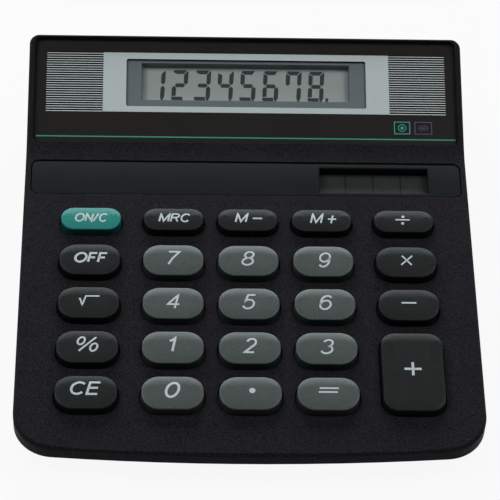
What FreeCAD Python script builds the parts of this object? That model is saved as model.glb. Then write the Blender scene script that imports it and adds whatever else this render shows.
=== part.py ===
import FreeCAD
import Part
import math
import os

# A desktop calculator: a wedge-shaped housing in two halves, with a gently sloping key deck
# and a steeper display head. Millimetres and degrees. X runs to the right, Y to the rear, Z up, and
# the origin is on the desk under the middle of the body.

V = FreeCAD.Vector

# Key grid, on the deck
COLUMN_PITCH = 19.83
OUTER_COLUMN_PITCH = 22.02
ROW_PITCH = 13.65
TOP_ROW_PITCH = 13.27

# Margins and bands of the deck, from the front edge to the hinge line of the head
FRONT_MARGIN = 17.0
SIDE_MARGIN = 18.35
BAND_FROM_KEYS = 9.98
BAND_D = 10.9
HINGE_FROM_BAND = 2.9

# Display head, along its slope
LENS_FROM_HINGE = 3.6
LENS_D = 30.9
HEAD_RIM = 1.4

# Body
FRONT_H = 9.7
SKIRT_H = 3.7
BASE_Z = 1.0
DECK_ANGLE = 6.0
HEAD_ANGLE = 14.8
BLEND_R = 21.0
WALL = 2.0
DECK_T = 2.0
HEAD_T = 3.0
FRONT_BOW_R = 700.0
FRONT_CORNER_R = 10.0
REAR_CORNER_R = 2.6
TOP_EDGE = 0.7
INNER_CORNER_R = 0.6

# Lens, band and their grooves
SIDE_RIM = 1.9
GROOVE = 0.3
LENS_T = 1.5
LENS_CORNER_R = 1.4
BAND_CORNER_R = 1.8
TRIM_T = 1.6
TRIM_CROWN = 0.25
BAND_FLOOR_T = 1.6
BAND_FLOOR_LAP = 1.2

# Solar window, measured on the deck
SOLAR_W = 29.6
SOLAR_WINDOW_D = 8.3
SOLAR_X = 34.8
SOLAR_WINDOW_LIFT = 1.1
SOLAR_BEVEL = 0.4
CELL_LAP = 1.4
CELL_T = 1.1
CELL_CLEAR = 0.2
CELL_RIB_T = 1.0
CELL_RIB_H = 1.4

# Keys
KEY_W = 15.9
KEY_D = 9.8
TOP_KEY_D = 7.25
KEY_CORNER_R = 4.6
TOP_KEY_CORNER_R = 3.55
TALL_KEY_CORNER_R = 3.8
KEY_RISE = 2.6
KEY_EDGE = 0.35
DRAFT_ANGLE = 4.0
CORNER_STEPS = 6
KEY_GAP = 0.3
KEY_TRAVEL = 1.2
KEY_SEAT = 0.05
FLANGE_LAP = 0.7
FLANGE_T = 1.0

# Key mat and board under the deck
MAT_FREE = 0.3
MAT_T = 0.8
MAT_TOUCH = 0.1
DOME_W = 6.4
DOME_TOP_W = 4.0
BOARD_T = 1.2
BOARD_MARGIN = 9.3
BOARD_FRONT = 9.0
BOARD_TAIL = 7.8
MAT_TAIL = 4.2
STOP_W = 3.0
STOP_T = 0.9
STOP_CLEAR = 0.3
STOP_ROWS = (0.5, 2.5)

# Hooks that hold the board and the display frame
HOOK_T = 1.2
HOOK_L = 5.0
HOOK_BARB = 0.6
HOOK_TIP = 1.4
HOOK_CLEAR = 0.2
HOOK_FIT = 0.05
FRONT_HOOK_Y = -3.0
REAR_HOOK_Y = 48.0

# Screws at the rear and their bosses
SCREW_R = 1.0
SCREW_L = 5.0
SCREW_HEAD_R = 2.0
SCREW_HEAD_T = 1.4
THREAD_FIT = 0.03
PASS_FIT = 0.2
HEAD_FIT = 0.2
PILOT_SPARE = 0.5
SINK_FLOOR = 1.8
BOSS_W = 4.6
BOSS_FROM_SIDE = 6.6
BOSS_FROM_REAR = 7.3
SEAT_W = 5.6

# Bottom housing
TRAY_FLOOR_T = 1.8
TRAY_WALL = 1.8
TRAY_REVEAL = 0.15
FRONT_UNDERCUT = 5.6
SIDE_UNDERCUT = 2.5
REAR_UNDERCUT = 3.4
LIP_T = 1.0
LIP_H = 1.8
LIP_FIT = 0.12
RIB_T = 1.2
RIB_CLEAR = 0.4
RIB_X = 31.5

# Snaps of the lip at the front and the sides
SNAP_DEPTH = 0.6
SNAP_FIT = 0.15
SNAP_L = 9.0
SNAP_H = 0.9
SNAP_X = 15.0
SNAP_Y = -8.0

# Display window, between margins from the lens's lower and upper edges
WINDOW_W = 68.0
WINDOW_UP = 9.9
WINDOW_DOWN = 5.3

# Display module behind the window: the bezel's rims and the glass's laps, measured from the window
BEZEL_FIT = 0.2
BEZEL_SINK = 2.2
BEZEL_FLANGE = 2.2
BEZEL_T = 1.2
VIEW_SIDE_RIM = 5.25
VIEW_LOW_RIM = 3.65
VIEW_HIGH_RIM = 1.4
VIEW_BEVEL = 0.25
GLASS_SIDE_LAP = 1.5
GLASS_LOW_LAP = 0.6
GLASS_HIGH_LAP = 0.5
GLASS_T = 0.7
FILM_T = 0.2
LEDGE = 3.0
CLAMP_T = 1.2
CLAMP_RIM = 0.8
CLAMP_LAP = 1.6

# Battery and its compartment
BATTERY_R = 5.8
BATTERY_H = 3.05
BATTERY_X = -27.0
BATTERY_FROM_REAR = 21.0
BATTERY_SIDE = 0.25
BATTERY_LIFT = 0.1
SPRING_ROOM = 1.0
CONTACT_T = 0.25
CONTACT_W = 3.0
CONTACT_TOUCH = 0.05
TAIL_H = 1.8
NEST_T = 1.0
NEST_W = 3.6
NEST_TURN = 50.0
POCKET_WALL = 1.4
POCKET_CEILING = 1.2

# Battery door
DOOR_W = 19.0
DOOR_TONGUE = 1.0
DOOR_T = 1.6
DOOR_TONGUE_T = 0.8
DOOR_FIT = 0.15
DOOR_FROM_NEST = 2.6
DOOR_END_H = 3.3
DOOR_END_T = 1.6
GRIP_COUNT = 4
GRIP_PITCH = 1.6
GRIP_DEPTH = 0.4
GRIP_W = 0.8
GRIP_LENGTH = 11.0
GRIP_FROM_END = 7.0

# Feet
FOOT_W = 10.0
FOOT_D = 6.0
FOOT_H = 1.6
FOOT_POCKET = 0.6
FOOT_FIT = 0.15
FOOT_EDGE = 0.4
FOOT_FROM_SIDE = 17.0
FOOT_FROM_FRONT = 16.0
FOOT_FROM_REAR = 9.0

# Parts on the board's under side
CHIP_W = 13.0
CHIP_H = 1.8
CHIP_X = 2.0
CHIP_Y = 38.0
CAN_R = 2.5
CAN_L = 7.0
CAN_X = 34.0
CAN_Y = 50.5
DIODE_W = 4.2
DIODE_D = 2.6
DIODE_H = 1.8
DIODE_X = 14.0
DIODE_Y = 52.0
RESISTOR_W = 3.2
RESISTOR_D = 1.6
RESISTOR_H = 0.6
RESISTOR_PITCH = 4.5
RESISTOR_X = -22.0
RESISTOR_Y = 50.0
RESISTOR_COUNT = 3

# Ribbon and leads
RIBBON_W = 44.0
RIBBON_T = 0.2
RIBBON_LAND = 2.4
LEAD_W = 1.0
LEAD_PITCH = 3.4
LEAD_SEAT = 0.03
SOLAR_LEAD_L = 7.0
LEAD_REACH = 7.0

# Places worked out from the sizes above
DISPLAY_ANGLE = DECK_ANGLE + HEAD_ANGLE
OUTER_COLUMN_X = COLUMN_PITCH + OUTER_COLUMN_PITCH
HALF_W = OUTER_COLUMN_X + SIDE_MARGIN
TOP_ROW_Y = 3 * ROW_PITCH + TOP_ROW_PITCH
BAND_Y = TOP_ROW_Y + BAND_FROM_KEYS
HINGE_Y = BAND_Y + BAND_D + HINGE_FROM_BAND
DECK_L = FRONT_MARGIN + HINGE_Y
HEAD_L = LENS_FROM_HINGE + LENS_D + HEAD_RIM


def sine(angle):
    return math.sin(math.radians(angle))


def cosine(angle):
    return math.cos(math.radians(angle))


def tangent(angle):
    return math.tan(math.radians(angle))


PART_Z = FRONT_H - SKIRT_H
REAR_H = FRONT_H + DECK_L * sine(DECK_ANGLE) + HEAD_L * sine(DISPLAY_ANGLE)
TOP_RUN = DECK_L * cosine(DECK_ANGLE) + HEAD_L * cosine(DISPLAY_ANGLE)
HALF_D = TOP_RUN / 2
FRONT_EDGE_Y = -HALF_D
DECK_ORIGIN_Y = FRONT_EDGE_Y + FRONT_MARGIN * cosine(DECK_ANGLE)
DECK_ORIGIN_Z = FRONT_H + FRONT_MARGIN * sine(DECK_ANGLE)
HINGE_WORLD_Y = FRONT_EDGE_Y + DECK_L * cosine(DECK_ANGLE)
HINGE_WORLD_Z = FRONT_H + DECK_L * sine(DECK_ANGLE)
BEYOND = 4.0
ROUNDNESS = 0.5523
TINY = 0.01

LENS_HALF_W = HALF_W - SIDE_RIM
FLANGE_TOP = -(DECK_T + KEY_SEAT)
STEM_END = FLANGE_TOP - FLANGE_T
MAT_TOP = STEM_END - KEY_TRAVEL - MAT_FREE
BOARD_TOP = MAT_TOP - MAT_T
BOARD_UNDER = BOARD_TOP - BOARD_T
BOARD_HALF_W = OUTER_COLUMN_X + BOARD_MARGIN
BOARD_REAR = TOP_ROW_Y + BOARD_TAIL
BOSS_X = HALF_W - BOSS_FROM_SIDE
BOSS_Y = HALF_D - BOSS_FROM_REAR
BOSS_Z = BASE_Z + 2 * SINK_FLOOR
SNAP_Z = PART_Z + LIP_H - SNAP_H
SOLAR_Y = BAND_Y + SOLAR_WINDOW_LIFT + SOLAR_WINDOW_D / 2
BAND_FLOOR_UNDER = -(TRIM_T + BAND_FLOOR_T)
BEZEL_UNDER = -(HEAD_T + BEZEL_T)
WINDOW_D = LENS_D - WINDOW_UP - WINDOW_DOWN
WINDOW_FROM = LENS_FROM_HINGE + WINDOW_UP
WINDOW_Y = WINDOW_FROM + WINDOW_D / 2
VIEW_W = WINDOW_W - 2 * VIEW_SIDE_RIM
VIEW_D = WINDOW_D - VIEW_LOW_RIM - VIEW_HIGH_RIM
VIEW_Y = WINDOW_FROM + VIEW_LOW_RIM + VIEW_D / 2
GLASS_W = WINDOW_W + 2 * GLASS_SIDE_LAP
GLASS_D = WINDOW_D + GLASS_LOW_LAP + GLASS_HIGH_LAP
GLASS_Y = WINDOW_FROM - GLASS_LOW_LAP
CLAMP_HALF_W = GLASS_W / 2 + CLAMP_RIM
LCD_FRONT = BEZEL_UNDER
LCD_BACK = LCD_FRONT - 2 * FILM_T - 2 * GLASS_T
BATTERY_Y = HALF_D - BATTERY_FROM_REAR
BATTERY_Z = BASE_Z + DOOR_T + BATTERY_LIFT
CEILING_Z = BATTERY_Z + BATTERY_H + SPRING_ROOM
DOOR_FRONT_Y = BATTERY_Y - BATTERY_R - DOOR_FROM_NEST


def move(shape, x, y, z):
    moved = shape.copy()
    moved.translate(V(x, y, z))
    return moved


def tilt(shape, slope, y, z):
    """Carries a shape that was drawn on the level onto a face that rises to the rear."""
    moved = shape.copy()
    place = FreeCAD.Placement(V(0, y, z), FreeCAD.Rotation(V(1, 0, 0), slope))
    moved.Placement = place.multiply(moved.Placement)
    return moved


def on_deck(shape):
    return tilt(shape, DECK_ANGLE, DECK_ORIGIN_Y, DECK_ORIGIN_Z)


def on_head(shape):
    return tilt(shape, DISPLAY_ANGLE, HINGE_WORLD_Y, HINGE_WORLD_Z)


def deck_point(x, y, z):
    across = y * cosine(DECK_ANGLE) - z * sine(DECK_ANGLE)
    up = y * sine(DECK_ANGLE) + z * cosine(DECK_ANGLE)
    return V(x, DECK_ORIGIN_Y + across, DECK_ORIGIN_Z + up)


def head_point(x, y, z):
    across = y * cosine(DISPLAY_ANGLE) - z * sine(DISPLAY_ANGLE)
    up = y * sine(DISPLAY_ANGLE) + z * cosine(DISPLAY_ANGLE)
    return V(x, HINGE_WORLD_Y + across, HINGE_WORLD_Z + up)


def box(x0, x1, y0, y1, z0, z1):
    return Part.makeBox(x1 - x0, y1 - y0, z1 - z0, V(x0, y0, z0))


def post(x, y, z0, z1, radius):
    return Part.makeCylinder(radius, z1 - z0, V(x, y, z0))


def loop(points):
    return Part.makePolygon(points + points[:1])


def join(shapes):
    whole = shapes[0]
    if len(shapes) > 1:
        whole = whole.multiFuse(shapes[1:])
    return whole.removeSplitter()


def arc_corner(start, corner, end):
    """A rounded corner that touches both sides, as an arc."""
    to_start = start - corner
    half = to_start.getAngle(end - corner) / 2
    inward = (to_start.normalize() + V(end - corner).normalize()).normalize()
    depth = (start - corner).Length * (1 / math.cos(half) - math.tan(half))
    return Part.Arc(start, corner + inward * depth, end).toShape()


def bend(start, corner, end):
    """A rounded corner that touches both sides, as a cubic curve that lofts well."""
    curve = Part.BezierCurve()
    curve.setPoles([start, start + (corner - start) * ROUNDNESS, end + (corner - end) * ROUNDNESS, end])
    return curve.toShape()


def round_rectangle(x, y, width, depth, radius, z):
    r = min(radius, width / 2 - TINY, depth / 2 - TINY)
    a = width / 2
    b = depth / 2
    arcs = []
    for sx, sy in ((1, -1), (1, 1), (-1, 1), (-1, -1)):
        along = V(x + sx * (a - r), y + sy * b, z)
        side = V(x + sx * a, y + sy * (b - r), z)
        start, end = (side, along) if sx == sy else (along, side)
        arcs.append(arc_corner(start, V(x + sx * a, y + sy * b, z), end))
    wire = []
    for n, arc in enumerate(arcs):
        wire.append(arc)
        wire.append(Part.makeLine(arc.Vertexes[-1].Point, arcs[(n + 1) % 4].Vertexes[0].Point))
    return Part.Wire(wire)


def plate(x, y, width, depth, radius, z0, z1):
    face = Part.Face(round_rectangle(x, y, width, depth, radius, z0))
    return face.extrude(V(0, 0, z1 - z0))


def tapered_block(x, y, low_size, z0, high_size, z1):
    """A block with flat faces between two level rectangles."""
    w0, d0 = (size / 2 for size in low_size)
    w1, d1 = (size / 2 for size in high_size)
    block = Part.makeWedge(-w0, z0, -d0, -d1, -w1, w0, z1, d0, d1, w1)
    block.rotate(V(0, 0, 0), V(1, 0, 0), 90)
    return move(block, x, y, 0)


def plan_outline(front_in, side_in, rear_in, z, lofted=False):
    """The body's outline at a height, each side moved in from the parting line's outline."""
    half = HALF_W - side_in
    front = -HALF_D + front_in
    rear = HALF_D - rear_in
    corner = max(FRONT_CORNER_R - side_in, INNER_CORNER_R)
    back = max(REAR_CORNER_R - side_in, INNER_CORNER_R)
    reach = half - corner
    bow_y = front + reach ** 2 / (2 * FRONT_BOW_R)
    tip_y = bow_y + corner * reach / FRONT_BOW_R
    start = {
        "bow": V(reach, bow_y, z),
        "tip": V(half, tip_y, z),
        "side": V(half, tip_y + corner, z),
        "flank": V(half, rear - back, z),
        "turn": V(half, rear, z),
        "tail": V(half - back, rear, z),
    }
    left = {name: V(-p.x, p.y, z) for name, p in start.items()}
    rounded = bend if lofted else arc_corner
    return Part.Wire([
        Part.Arc(left["bow"], V(0, front, z), start["bow"]).toShape(),
        rounded(start["bow"], start["tip"], start["side"]),
        Part.makeLine(start["side"], start["flank"]),
        rounded(start["flank"], start["turn"], start["tail"]),
        Part.makeLine(start["tail"], left["tail"]),
        rounded(left["tail"], left["turn"], left["flank"]),
        Part.makeLine(left["flank"], left["side"]),
        rounded(left["side"], left["tip"], left["bow"]),
    ])


def body_form(inset, z0, z1):
    """The form inside the upright walls from one height to another, moved in by an inset."""
    return Part.Face(plan_outline(inset, inset, inset, z0)).extrude(V(0, 0, z1 - z0))


def under_faces(deck_depth, head_depth, blend):
    """All that lies below the deck and the head, each lowered by its own depth."""
    run_in = -HALF_D - BEYOND
    run_out = HALF_D + BEYOND
    low = -BEYOND
    deck_y = FRONT_EDGE_Y + deck_depth * sine(DECK_ANGLE)
    deck_z = FRONT_H - deck_depth * cosine(DECK_ANGLE)
    head_y = HINGE_WORLD_Y + head_depth * sine(DISPLAY_ANGLE)
    head_z = HINGE_WORLD_Z - head_depth * cosine(DISPLAY_ANGLE)
    rise = tangent(DECK_ANGLE)
    climb = tangent(DISPLAY_ANGLE)
    cross_y = (head_z - deck_z + rise * deck_y - climb * head_y) / (rise - climb)
    cross_z = deck_z + rise * (cross_y - deck_y)
    start = V(-HALF_W - BEYOND, run_in, deck_z + rise * (run_in - deck_y))
    end = V(-HALF_W - BEYOND, run_out, head_z + climb * (run_out - head_y))
    x = start.x
    reach = blend * tangent(HEAD_ANGLE / 2)
    first = V(x, cross_y - reach * cosine(DECK_ANGLE), cross_z - reach * sine(DECK_ANGLE))
    last = V(x, cross_y + reach * cosine(DISPLAY_ANGLE), cross_z + reach * sine(DISPLAY_ANGLE))
    turn = DECK_ANGLE + HEAD_ANGLE / 2
    centre_y = first.y - blend * sine(DECK_ANGLE)
    centre_z = first.z + blend * cosine(DECK_ANGLE)
    middle = V(x, centre_y + blend * sine(turn), centre_z - blend * cosine(turn))
    edges = [
        Part.makeLine(start, first),
        Part.Arc(first, middle, last).toShape(),
        Part.makeLine(last, end),
        Part.makeLine(end, V(x, run_out, low)),
        Part.makeLine(V(x, run_out, low), V(x, run_in, low)),
        Part.makeLine(V(x, run_in, low), start),
    ]
    return Part.Face(Part.Wire(edges)).extrude(V(2 * (HALF_W + BEYOND), 0, 0))


def key_list():
    """Every key's name, place, width, depth and corner radius."""
    columns = (-OUTER_COLUMN_X, -COLUMN_PITCH, 0.0, COLUMN_PITCH, OUTER_COLUMN_X)
    rows = (
        ("ce", "0", "point", "equals", None),
        ("percent", "1", "2", "3", None),
        ("root", "4", "5", "6", "minus"),
        ("off", "7", "8", "9", "times"),
        ("on_clear", "memory_recall", "memory_minus", "memory_plus", "divide"),
    )
    keys = []
    for n, row in enumerate(rows):
        top = n == len(rows) - 1
        y = TOP_ROW_Y if top else n * ROW_PITCH
        depth = TOP_KEY_D if top else KEY_D
        corner = TOP_KEY_CORNER_R if top else KEY_CORNER_R
        for x, name in zip(columns, row):
            if name:
                keys.append((name, x, y, KEY_W, depth, corner))
    tall = KEY_D + ROW_PITCH
    keys.append(("plus", OUTER_COLUMN_X, ROW_PITCH / 2, KEY_W, tall, TALL_KEY_CORNER_R))
    return keys


def key_flare(height):
    """How far a drafted key wall stands out at a height on the deck."""
    return (KEY_RISE - height) * tangent(DRAFT_ANGLE)


def key_ring(key, grow, z):
    """A key's outline, grown by a margin, whose corners turn in equal steps."""
    name, x, y, width, depth, corner = key
    a = width / 2 - corner
    b = depth / 2 - corner
    ring = []
    for quarter, (sx, sy) in enumerate(((1, 1), (-1, 1), (-1, -1), (1, -1))):
        for step in range(CORNER_STEPS + 1):
            angle = 90 * (quarter + step / CORNER_STEPS)
            reach = corner + grow
            ring.append(V(x + sx * a + reach * cosine(angle), y + sy * b + reach * sine(angle), z))
    return ring


def drafted_prism(rings):
    """A solid through a stack of like rings, with one flat face for each side and level."""
    faces = [Part.Face(loop(rings[0])), Part.Face(loop(rings[-1]))]
    for lower, upper in zip(rings, rings[1:]):
        for n in range(len(lower)):
            m = (n + 1) % len(lower)
            faces.append(Part.Face(loop([lower[n], lower[m], upper[m], upper[n]])))
    solid = Part.Solid(Part.Shell(faces))
    if solid.Volume < 0:
        solid.reverse()
    return solid


def key_cap(key):
    """A drafted cap with a bevelled top, on the flange that keeps it under the deck."""
    name, x, y, width, depth, corner = key
    shoulder = KEY_RISE - KEY_EDGE
    cap = drafted_prism([
        key_ring(key, key_flare(FLANGE_TOP), FLANGE_TOP),
        key_ring(key, key_flare(shoulder), shoulder),
        key_ring(key, -KEY_EDGE, KEY_RISE),
    ])
    lap = key_flare(0) + KEY_GAP + FLANGE_LAP
    flange = box(x - width / 2 - lap, x + width / 2 + lap, y - depth / 2 - lap, y + depth / 2 + lap,
                 STEM_END, FLANGE_TOP)
    return on_deck(join([cap, flange]))


def key_wells():
    """The openings of the deck, one round each key."""
    grow = key_flare(0) + KEY_GAP
    return [Part.Face(loop(key_ring(key, grow, -DECK_T - BEYOND))).extrude(V(0, 0, DECK_T + 2 * BEYOND))
            for key in key_list()]


def stop_places():
    """Free spots between four keys, where the deck's stops reach the board."""
    x = COLUMN_PITCH + OUTER_COLUMN_PITCH / 2
    return [(side * x, rows * ROW_PITCH) for side in (-1, 1) for rows in STOP_ROWS]


def screw_places():
    return [(side * BOSS_X, BOSS_Y) for side in (-1, 1)]


def snap_hook(side, x, y, root, seat):
    """A leg whose barb catches under a plate: the plate's edge is at x, its under face at the seat."""
    inner = x + HOOK_CLEAR
    under = seat - HOOK_FIT
    profile = [(inner, root), (inner, under), (inner - HOOK_BARB, under), (inner, under - HOOK_TIP),
               (inner + HOOK_T, under - HOOK_TIP), (inner + HOOK_T, root)]
    corners = [V(side * px, y - HOOK_L / 2, pz) for px, pz in profile]
    return Part.Face(loop(corners)).extrude(V(0, HOOK_L, 0))


def snap_boxes(grow):
    """The stretches of the walls that have snaps: two at the front, one on each side."""
    half = SNAP_L / 2 + grow
    z0 = SNAP_Z - grow
    z1 = SNAP_Z + SNAP_H + grow
    boxes = [box(x - half, x + half, -HALF_D - BEYOND, -HALF_D + BEYOND, z0, z1)
             for x in (-SNAP_X, SNAP_X)]
    boxes += [box(x - BEYOND, x + BEYOND, SNAP_Y - half, SNAP_Y + half, z0, z1)
              for x in (-HALF_W, HALF_W)]
    return Part.makeCompound(boxes)


def soft_top_edges(form):
    """The edges where the walls meet the deck and the head."""
    edges = []
    for edge in form.Edges:
        middle = edge.valueAt((edge.FirstParameter + edge.LastParameter) / 2)
        across = abs(edge.Vertexes[0].X - edge.Vertexes[-1].X) > HALF_W
        inside = -HALF_D + FRONT_MARGIN / 2 < middle.y < HALF_D - FRONT_MARGIN / 2
        if middle.z > PART_Z + SKIRT_H / 2 and not (across and inside):
            upright = abs(edge.Vertexes[0].Z - edge.Vertexes[-1].Z) > SKIRT_H / 2
            leans = abs(edge.Vertexes[0].Y - edge.Vertexes[-1].Y) > SKIRT_H
            if leans or not upright:
                edges.append(edge)
    return edges


def top_housing():
    """Deck, head and walls in one moulding, with wells, recesses, bosses, stops and hooks."""
    ceiling = REAR_H + BEYOND
    walls = body_form(0.0, PART_Z, ceiling)
    form = walls.common(under_faces(0.0, 0.0, BLEND_R))
    form = form.makeChamfer(TOP_EDGE, soft_top_edges(form))
    hollow = body_form(WALL, PART_Z - BEYOND, ceiling)
    hollow = hollow.common(under_faces(DECK_T, HEAD_T, BLEND_R))
    inside = body_form(WALL / 2, PART_Z - BEYOND, ceiling)
    inside = inside.common(under_faces(DECK_T / 2, HEAD_T / 2, BLEND_R))

    added = [on_deck(box(-HALF_W, HALF_W, BAND_Y - BAND_FLOOR_LAP, HINGE_Y + BAND_FLOOR_LAP,
                         BAND_FLOOR_UNDER, -TRIM_T / 2))]
    for x, y in screw_places():
        side = math.copysign(1, x)
        half = BOSS_W / 2
        added.append(box(x - half, x + half, y - half, y + half, BOSS_Z, ceiling))
        inner, outer = sorted((x, side * HALF_W))
        added.append(box(inner, outer, y - RIB_T / 2, y + RIB_T / 2,
                         PART_Z + LIP_H + RIB_CLEAR, ceiling))
    for x, y in stop_places():
        added.append(on_deck(box(x - STOP_W / 2, x + STOP_W / 2, y - STOP_T / 2, y + STOP_T / 2,
                                 BOARD_TOP, -DECK_T / 2)))
    for side in (-1, 1):
        for y in (FRONT_HOOK_Y, REAR_HOOK_Y):
            added.append(on_deck(snap_hook(side, BOARD_HALF_W, y, -DECK_T / 2, BOARD_UNDER)))
        added.append(on_head(snap_hook(side, CLAMP_HALF_W, WINDOW_Y, -HEAD_T / 2, LCD_BACK - CLAMP_T)))
        edge = SOLAR_X + side * (SOLAR_W / 2 + CELL_LAP + CELL_CLEAR)
        x0, x1 = sorted((edge, edge + side * CELL_RIB_T))
        added.append(on_deck(box(x0, x1, BAND_Y, BAND_Y + BAND_D,
                                 BAND_FLOOR_UNDER - CELL_RIB_H, BAND_FLOOR_UNDER + TRIM_T / 2)))
    form = join([form.cut(hollow), join(added).common(inside)])

    lens_w = 2 * (LENS_HALF_W + GROOVE)
    removed = [
        on_head(plate(0, LENS_FROM_HINGE + LENS_D / 2, lens_w, LENS_D + 2 * GROOVE,
                      LENS_CORNER_R + GROOVE, -LENS_T, BEYOND)),
        on_head(box(-WINDOW_W / 2, WINDOW_W / 2, WINDOW_Y - WINDOW_D / 2, WINDOW_Y + WINDOW_D / 2,
                    -HEAD_T - BEYOND, BEYOND)),
        on_deck(plate(0, BAND_Y + BAND_D / 2, lens_w, BAND_D + 2 * GROOVE,
                      BAND_CORNER_R + GROOVE, -TRIM_T, BEYOND)),
        on_deck(box(SOLAR_X - SOLAR_W / 2, SOLAR_X + SOLAR_W / 2, SOLAR_Y - SOLAR_WINDOW_D / 2,
                    SOLAR_Y + SOLAR_WINDOW_D / 2, -2 * BEYOND, BEYOND)),
        body_form(WALL - SNAP_DEPTH, PART_Z, PART_Z + BEYOND).common(snap_boxes(SNAP_FIT)),
    ]
    for x, y in screw_places():
        tip = BASE_Z + SINK_FLOOR + SCREW_L + PILOT_SPARE
        removed.append(post(x, y, BOSS_Z - BEYOND, tip, SCREW_R + THREAD_FIT))
    form = form.cut(Part.makeCompound(removed))
    return form.cut(Part.makeCompound([on_deck(well) for well in key_wells()]))


def tray_form(inset, z0, z1):
    """The bottom housing's undercut form between two heights."""
    wires = []
    for z in (z0, z1):
        down = (PART_Z - z) / (PART_Z - BASE_Z)
        wires.append(plan_outline(inset + down * FRONT_UNDERCUT, inset + down * SIDE_UNDERCUT,
                                  inset + down * REAR_UNDERCUT, z, True))
    return Part.makeLoft(wires, True, True)


def door_slot(grow, z_end):
    """The room of the sliding door, or the door's own blank without the growth."""
    wide = DOOR_W / 2 + DOOR_TONGUE + grow
    narrow = DOOR_W / 2 + grow
    rear = HALF_D + BEYOND
    front = DOOR_FRONT_Y - grow
    tongue_z = BASE_Z + DOOR_T - DOOR_TONGUE_T
    return join([
        box(BATTERY_X - narrow, BATTERY_X + narrow, front, rear, BASE_Z - BEYOND, BASE_Z + DOOR_T),
        box(BATTERY_X - wide, BATTERY_X + wide, front, rear, tongue_z, BASE_Z + DOOR_T + grow),
        box(BATTERY_X - narrow, BATTERY_X + narrow, HALF_D - REAR_UNDERCUT - DOOR_END_T - grow, rear,
            BASE_Z, z_end),
    ])


def battery_pocket():
    """Outer block and inner room of the battery compartment."""
    half = DOOR_W / 2 + DOOR_TONGUE
    front = DOOR_FRONT_Y
    rear = HALF_D - WALL - LIP_FIT - LIP_T
    outer = box(BATTERY_X - half - POCKET_WALL, BATTERY_X + half + POCKET_WALL, front - POCKET_WALL,
                rear, BASE_Z + TRAY_FLOOR_T / 2, CEILING_Z + POCKET_CEILING)
    room = box(BATTERY_X - half, BATTERY_X + half, front, rear - POCKET_WALL, BASE_Z + DOOR_T, CEILING_Z)
    return outer, room


def battery_nest():
    """Four ribs that hang from the pocket's ceiling round the cell."""
    low = BASE_Z + DOOR_T + 2 * DOOR_FIT
    inner = BATTERY_R + BATTERY_SIDE
    rib = box(inner, inner + NEST_T, -NEST_W / 2, NEST_W / 2, low, CEILING_Z + POCKET_CEILING / 2)
    ribs = []
    for turn in (NEST_TURN, 180 - NEST_TURN, 180 + NEST_TURN, -NEST_TURN):
        turned = rib.copy()
        turned.rotate(V(0, 0, 0), V(0, 0, 1), turn)
        ribs.append(move(turned, BATTERY_X, BATTERY_Y, 0))
    return ribs


def contact_profile(points):
    """A strip of sheet metal: a chain of points in the XZ plane, given a thickness and a width."""
    strip = Part.Face(loop([V(x, 0, z) for x, z in points])).extrude(V(0, CONTACT_W, 0))
    return move(strip, BATTERY_X, BATTERY_Y - CONTACT_W / 2, 0)


def minus_contact_points():
    """A flat strip under the ceiling with a tongue sprung down onto the cell and a tail up."""
    t = CONTACT_T
    top = CEILING_Z
    touch = BATTERY_Z + BATTERY_H + CONTACT_TOUCH
    return [
        (-BATTERY_R / 2, top), (-BATTERY_R / 2, top + POCKET_CEILING + TAIL_H),
        (-BATTERY_R / 2 - t, top + POCKET_CEILING + TAIL_H), (-BATTERY_R / 2 - t, top - t),
        (BATTERY_R / 4, top - t), (0, touch + t), (-BATTERY_R / 4, touch + t), (-BATTERY_R / 4, touch),
        (t, touch), (BATTERY_R / 3, top - t), (BATTERY_R / 3, top),
    ]


def plus_contact_points():
    """A strip that stands beside the cell, turned over at the ceiling, with a tail up."""
    t = CONTACT_T
    top = CEILING_Z
    x = BATTERY_R + CONTACT_TOUCH
    out = x + NEST_T + t
    return [
        (x, BATTERY_Z + t), (x, top), (out, top), (out, top + POCKET_CEILING + TAIL_H),
        (out + t, top + POCKET_CEILING + TAIL_H), (out + t, top - t), (x + t, top - t),
        (x + t, BATTERY_Z + t),
    ]


def contact_slots():
    """The ceiling's slots for the contacts' tails."""
    slots = []
    for points in (minus_contact_points(), plus_contact_points()):
        highest = max(z for x, z in points)
        tail = [x for x, z in points if z == highest]
        slots.append(box(BATTERY_X + min(tail) - CONTACT_T / 4, BATTERY_X + max(tail) + CONTACT_T / 4,
                         BATTERY_Y - CONTACT_W / 2 - CONTACT_T, BATTERY_Y + CONTACT_W / 2 + CONTACT_T,
                         CEILING_Z - CONTACT_T, highest))
    return slots


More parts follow.
